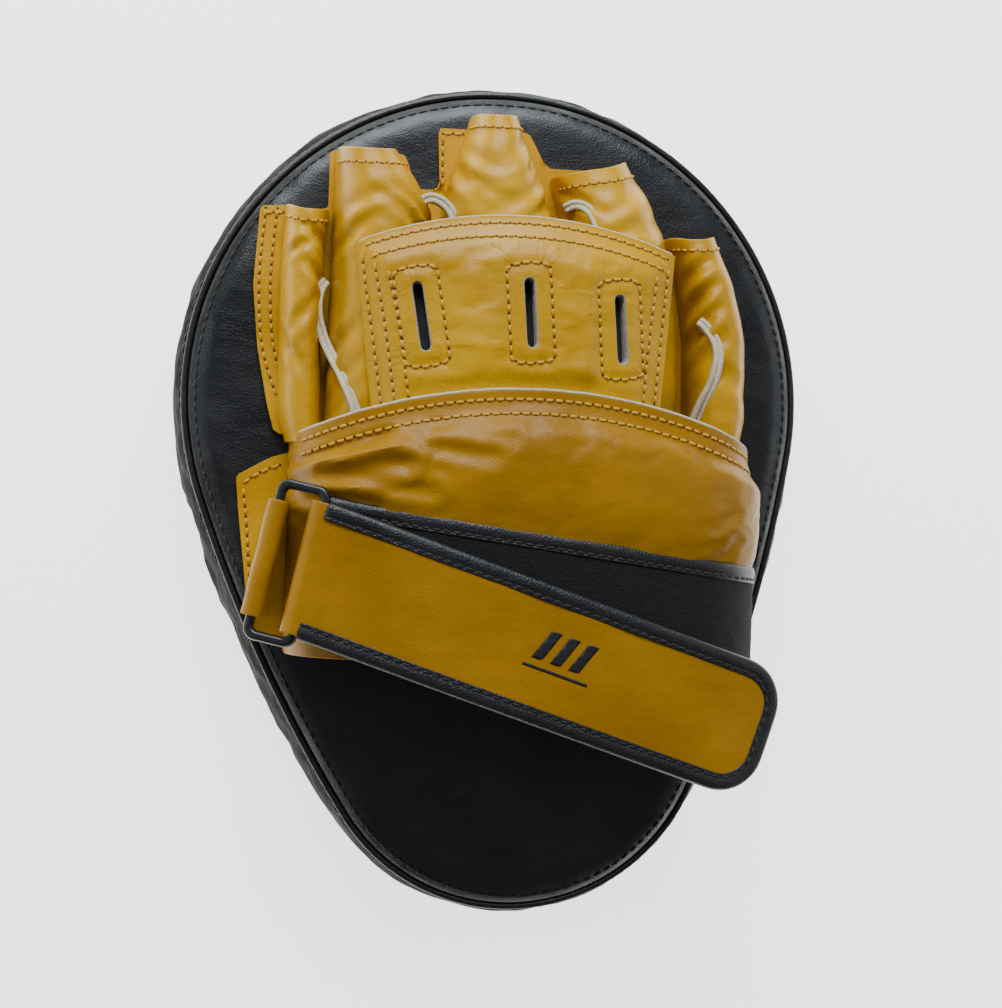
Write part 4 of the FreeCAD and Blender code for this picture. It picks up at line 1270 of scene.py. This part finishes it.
def run_places(s, across, depth):
    """Points of the strap at arch coordinates s; across is the sideways place, -1 to 1, from its middle."""
    x, z, nx, nz = arch_at(s)
    knee_z = arch_at(arch_from_x(np.array([LIFT_FROM])))[1][0]
    beyond = np.maximum(LIFT_FROM - x, 0)
    slope = (knee_z - LEFT_END_Z) / (LIFT_FROM - LEFT_END)
    z = np.where(x < LIFT_FROM, knee_z - slope * beyond, z)
    nx = np.where(x < LIFT_FROM, -slope, nx)
    normals = unit(np.column_stack([nx, np.zeros_like(nx), nz]))
    normals[x < LIFT_FROM] = unit(np.array([-slope, 0, 1.0]))
    y_middle = RUN_START[1] + math.tan(RUN_TURN) * (x - RUN_START[0])
    half = STRAP_HALF / math.cos(RUN_TURN)
    y = y_middle + across * half
    x_out = x + across * half * math.sin(-RING_TURN) * ease(-x, -LIFT_FROM, -LEFT_END)
    return np.column_stack([x_out, y, z]) - normals * np.asarray(depth)[..., None], normals


def run_line(count):
    """Arch coordinates of the strap from the ring to its sewn end."""
    start = -(TOP_LENGTH + ARCH_CORNER * (math.asin((68.0 - 49.5) / 24.0) - TOP_ANGLE))
    return np.linspace(start, ARCH_REACH + 1.2, count)


RUN_BLEND = ("mitt", "ring", (-0.044, -0.0225, 0.081), (-0.0635, -0.0200, 0.080))


def build_run():
    rows, columns = 110, 24
    s = run_line(rows)
    across = np.linspace(-1, 1, columns)
    s_all = np.repeat(s, columns)
    a_all = np.tile(across, rows)
    faces = grid_faces(rows, columns)
    for name, node, low, high, part, material, slot, scale, size in (
            ("strap_run_leather", "strap_run", -0.45, -1.9, 0.985, YELLOW, "yellow_leather", 9.0, 0.05),
            ("strap_run_loop_pile", "loop_tape", -2.0, -3.0, 0.80, LOOP, "loop_tape", 2.6, 0.22)):
        upper, normals = run_places(s_all, a_all * part, np.full(len(s_all), high))
        lower, _ = run_places(s_all, a_all * part, np.full(len(s_all), low))
        upper = upper + normals * (size * fractal(upper, scale, 3, 4.0))[:, None]
        piece = add_shell(name, upper, lower, faces, material, 0.2)
        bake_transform(piece)
        declare([node])
    bindings, seams = [], []
    for which, sign in (("upper", 1), ("lower", -1)):
        path, normals = run_places(s, np.full(rows, float(sign)), np.full(rows, -1.8))
        inner, _ = run_places(s, np.full(rows, sign * 0.7), np.full(rows, -1.8))
        side = unit(inner - path)
        path = path + normals * (0.16 * fractal(path, 12, 2, sign))[:, None]
        piece = sweep(f"strap_run_binding_{which}", binding_profile(-1.45, 1.6), path, side, normals, EDGING)
        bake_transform(piece)
        declare([f"run_binding_{which}"])
        bindings.append(piece)
        seam, out = run_places(s[2:-8], np.full(rows - 10, sign * 0.80), np.full(rows - 10, -10.0))
        seams.append([(tuple(p), tuple(-n)) for p, n in zip(seam, out)])
    stitch_rows("strap_run_stitching", tree_of(*bindings), seams, 3.2, 0.4, BLACK_THREAD, INK, RUN_BLEND)


def binding_profile(low, high):
    """Section of a folded edge binding: (inwards, upwards), with a groove where it is sewn."""
    mid_low, mid_high = low + 0.55, high - 0.45
    return [(BINDING, mid_high), (BINDING, high - 0.12), (BINDING - 0.5, high), (4.9, high + 0.02),
            (4.3, high - 0.22), (3.6, high + 0.08), (2.2, high + 0.2), (0.9, high + 0.05),
            (0.15, high - 0.5), (-0.15, (low + high) / 2), (0.15, low + 0.5), (0.9, low + 0.05),
            (2.4, low), (BINDING - 0.3, low), (BINDING, low + 0.15), (BINDING, mid_low),
            (1.2, mid_low), (1.2, mid_high)]


# ---- flap ----

FLAP_DIR = np.array([math.cos(FLAP_TURN), math.sin(FLAP_TURN), 0.0])
FLAP_SIDE = np.array([-math.sin(FLAP_TURN), math.cos(FLAP_TURN), 0.0])
RING_DIR = np.array([math.cos(RING_TURN), math.sin(RING_TURN), 0.0])
RING_SIDE = np.array([-math.sin(RING_TURN), math.cos(RING_TURN), 0.0])
FLAP_BLEND = ("ring", "flap", tuple((STRAP_BAR + RING_DIR * 0.5) * MM),
              tuple((STRAP_BAR + RING_DIR * 13) * MM))


def flap_half_width(along):
    """Half the flap's width, which rounds off towards its tip."""
    into_tip = np.clip(np.asarray(along, float) - (FLAP_LENGTH - FLAP_TIP), 0, FLAP_TIP)
    return STRAP_HALF - FLAP_TIP + np.sqrt(np.maximum(FLAP_TIP ** 2 - into_tip ** 2, 0))


def flap_places(along, sideways, level):
    """Points of the flap: level is the height above its lower face."""
    along, sideways = np.asarray(along, float), np.asarray(sideways, float)
    plan = STRAP_BAR[:2] + along[:, None] * FLAP_DIR[:2] + sideways[:, None] * FLAP_SIDE[:2]
    reach = plan[:, 0] - ARCH_MIDDLE
    z = FLAP_CROWN - FLAP_RADIUS + np.sqrt(FLAP_RADIUS ** 2 - reach ** 2)
    z = z + 0.35 * np.sin(along / 17.0) * ease(along, 10, 40)
    normals = unit(np.column_stack([reach / FLAP_RADIUS, np.zeros(len(reach)), np.ones(len(reach))]))
    return np.column_stack([plan, z]) + normals * np.asarray(level)[..., None], normals


def flap_wave(points):
    """Gentle waves along the flap, which begin past the ring; points are (along, sideways, 0)."""
    return 0.22 * fractal(points, (16, 12, 1), 3, 2.0) * ease(points[:, 0], 8, 24)


def flap_sheet():
    """The upper and lower rows of the strap, which comes from under the ring's bar and folds round it."""
    columns = 26
    share = np.linspace(-1, 1, columns)
    fold_half, upper_level, lower_level = 20.4, 2.8, 1.0
    upper, lower = [], []
    for angle in np.linspace(-1.62, -math.pi * 1.5, 14):
        direction = RING_DIR * math.cos(angle) + np.array([0, 0, math.sin(angle)])
        line = STRAP_BAR + share[:, None] * fold_half * RING_SIDE
        upper.append(line + direction * 4.1)
        lower.append(line + direction * 2.0)
    fold_upper, fold_lower = upper[-1], lower[-1]
    start = 9.0
    here = np.full(columns, start)
    next_upper, _ = flap_places(here, share * fold_half, np.full(columns, upper_level))
    next_lower, _ = flap_places(here, share * fold_half, np.full(columns, lower_level))
    for t in np.arange(1, 6) / 6:
        sag = [0, 0, (float(ease(t, 0, 1)) - t) * 0.8]
        upper.append(fold_upper * (1 - t) + next_upper * t + sag)
        lower.append(fold_lower * (1 - t) + next_lower * t + sag)
    for along in [*np.linspace(start, 136, 62), *np.linspace(138, FLAP_LENGTH - 0.4, 14)]:
        half = float(flap_half_width(along)) - 0.5
        here = np.full(columns, along)
        wave = flap_wave(np.column_stack([here, share * 20, here * 0]))
        upper.append(flap_places(here, share * half, upper_level + wave)[0])
        lower.append(flap_places(here, share * half, np.full(columns, lower_level))[0])
    return np.array(upper), np.array(lower)


def build_flap():
    upper, lower = flap_sheet()
    faces = grid_faces(*upper.shape[:2])
    # The flap takes the darker copy of the yellow leather: painted shade.
    strap = add_shell("strap_flap_leather", upper.reshape(-1, 3), lower.reshape(-1, 3), faces, SHADED_YELLOW)
    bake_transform(strap)
    declare(["flap_leather", "strap_fold"])
    build_flap_binding()
    hook_line = round_corners([(66, -17), (140, -17), (146, -9), (146, 9), (140, 17), (66, 17)], 3)
    plan, faces = plan_mesh(resample(hook_line, 1.6, closed=True), (), 2.4)
    upper, _ = flap_places(plan[:, 0], plan[:, 1], np.full(len(plan), 0.95))
    rough = 0.15 * fractal(upper, 1.7, 2, 3.0)
    lower, _ = flap_places(plan[:, 0], plan[:, 1], 0.15 + np.clip(rough, -0.15, 0.15))
    hook = add_shell("strap_flap_hook_tape", upper, lower, faces, HOOK, 0.1)
    settle(hook, "flap", ["hook_patch"])
    build_mark()


def build_flap_binding():
    straight_end = FLAP_LENGTH - FLAP_TIP
    low_side = [(a, -float(flap_half_width(a))) for a in np.linspace(3.4, straight_end, 60)]
    high_side = [(a, float(flap_half_width(a))) for a in np.linspace(-1.4, straight_end, 60)]
    tip = []
    for angle in np.radians(np.linspace(-90, 0, 12)[1:]):
        tip.append((straight_end + FLAP_TIP * math.cos(angle),
                    -(STRAP_HALF - FLAP_TIP) + FLAP_TIP * math.sin(angle)))
    line = low_side + tip + [(a, -w) for a, w in reversed(tip)] + high_side[::-1]
    line = resample(np.array(line), 2.0)
    path, normals = flap_places(line[:, 0], line[:, 1], np.full(len(line), 1.65))
    flat = unit(np.gradient(line, axis=0))
    inward = FLAP_DIR * -flat[:, 1:2] + FLAP_SIDE * flat[:, :1]
    side = unit(inward - normals * (inward * normals).sum(axis=1)[:, None])
    root_lift = (0.85 - 0.35 * np.sign(line[:, 1])) * (1 - ease(line[:, 0], 3, 14))
    path = path + normals * (0.12 * fractal(path, 12, 2, 9.0) + root_lift)[:, None]
    edging = sweep("strap_flap_binding", binding_profile(-1.6, 1.55), path, side, normals, EDGING)
    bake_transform(edging)
    declare(["flap_binding"])
    seam = line + np.column_stack([-flat[:, 1], flat[:, 0]]) * 4.3
    seam = seam[seam[:, 0] > 7]
    above, out = flap_places(seam[:, 0], seam[:, 1], np.full(len(seam), 12.0))
    rays = [(tuple(p), tuple(-n)) for p, n in zip(above, out)]
    stitch_rows("strap_flap_stitching", tree_of(edging), [rays], 3.2, 0.4, BLACK_THREAD, INK, FLAP_BLEND)


def build_mark():
    """A plain printed mark: three slanted bars over a thin rule."""
    middle = np.array([80.0, 3.0])
    shapes = [[(x, -4.6), (x + 3.4, -4.6), (x + 6.8, 4.9), (x + 3.4, 4.9)] for x in (-8.6, -2.6, 3.4)]
    shapes.append([(-10.5, -7.6), (10.8, -7.6), (10.8, -6.7), (-10.5, -6.7)])
    for number, shape in enumerate(shapes, start=1):
        plan, faces = plan_mesh(resample(np.array(shape) + middle, 1.2, closed=True), (), 1.2)
        wave = flap_wave(np.column_stack([plan, plan[:, 0] * 0]))
        upper, _ = flap_places(plan[:, 0], plan[:, 1], 2.93 + wave)
        lower, _ = flap_places(plan[:, 0], plan[:, 1], 2.6 + wave)
        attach(add_shell(f"printed_bar_{number}", upper, lower, faces, INK, 0, 0), "flap")


# ---- ring tab ----

def build_tab():
    """A leather loop round the ring's outer bar, its two ends sewn down beside the glove."""
    bar_z = TAB_BAR[2]
    steps = [(-0.95, z) for z in np.linspace(PALM_TOP, bar_z - 4.6, 16)]
    for angle in np.radians(np.linspace(235, -55, 18)):
        steps.append((2.75 * math.cos(angle), bar_z + 2.75 * math.sin(angle)))
    steps += [(0.95, z) for z in np.linspace(bar_z - 4.6, PALM_TOP, 16)]
    line = np.array(steps)
    tangent = unit(np.gradient(line, axis=0))
    normal = np.column_stack([-tangent[:, 1], tangent[:, 0]])
    columns = 26
    place = np.linspace(-1, 1, columns)
    upper, lower = [], []
    for (offset, z), (normal_x, normal_z) in zip(line, normal):
        half = float(18.0 + 1.2 * (1 - ease((z - PALM_TOP) / (bar_z - PALM_TOP), 0, 1)))
        spot = np.array([TAB_BAR[0], TAB_BAR[1], z])
        across = spot + place[:, None] * half * RING_SIDE + RING_DIR * offset
        pinch = 0.3 * np.sin(place * 7 + z * 0.25)[:, None] * RING_DIR * (1 if z < bar_z - 5 else 0.3)
        out = RING_DIR * normal_x + np.array([0, 0, 1]) * normal_z
        upper.append(across + pinch + out * 0.65)
        lower.append(across + pinch - out * 0.65)
    faces = grid_faces(len(upper), columns)
    # The tab takes the darker copy of the yellow leather: painted shade.
    piece = add_shell("ring_tab_leather", np.array(upper).reshape(-1, 3), np.array(lower).reshape(-1, 3),
                      faces, SHADED_YELLOW)
    settle(piece, "mitt", ["ring_tab"])


build_stage()
build_pad()
build_palm()
sleeve_pieces = build_sleeves()
build_welts(sleeve_pieces)
build_hand_back()
build_knuckles()
build_run()
build_flap()
build_tab()
paint("strap_ring", RING_PAINT)
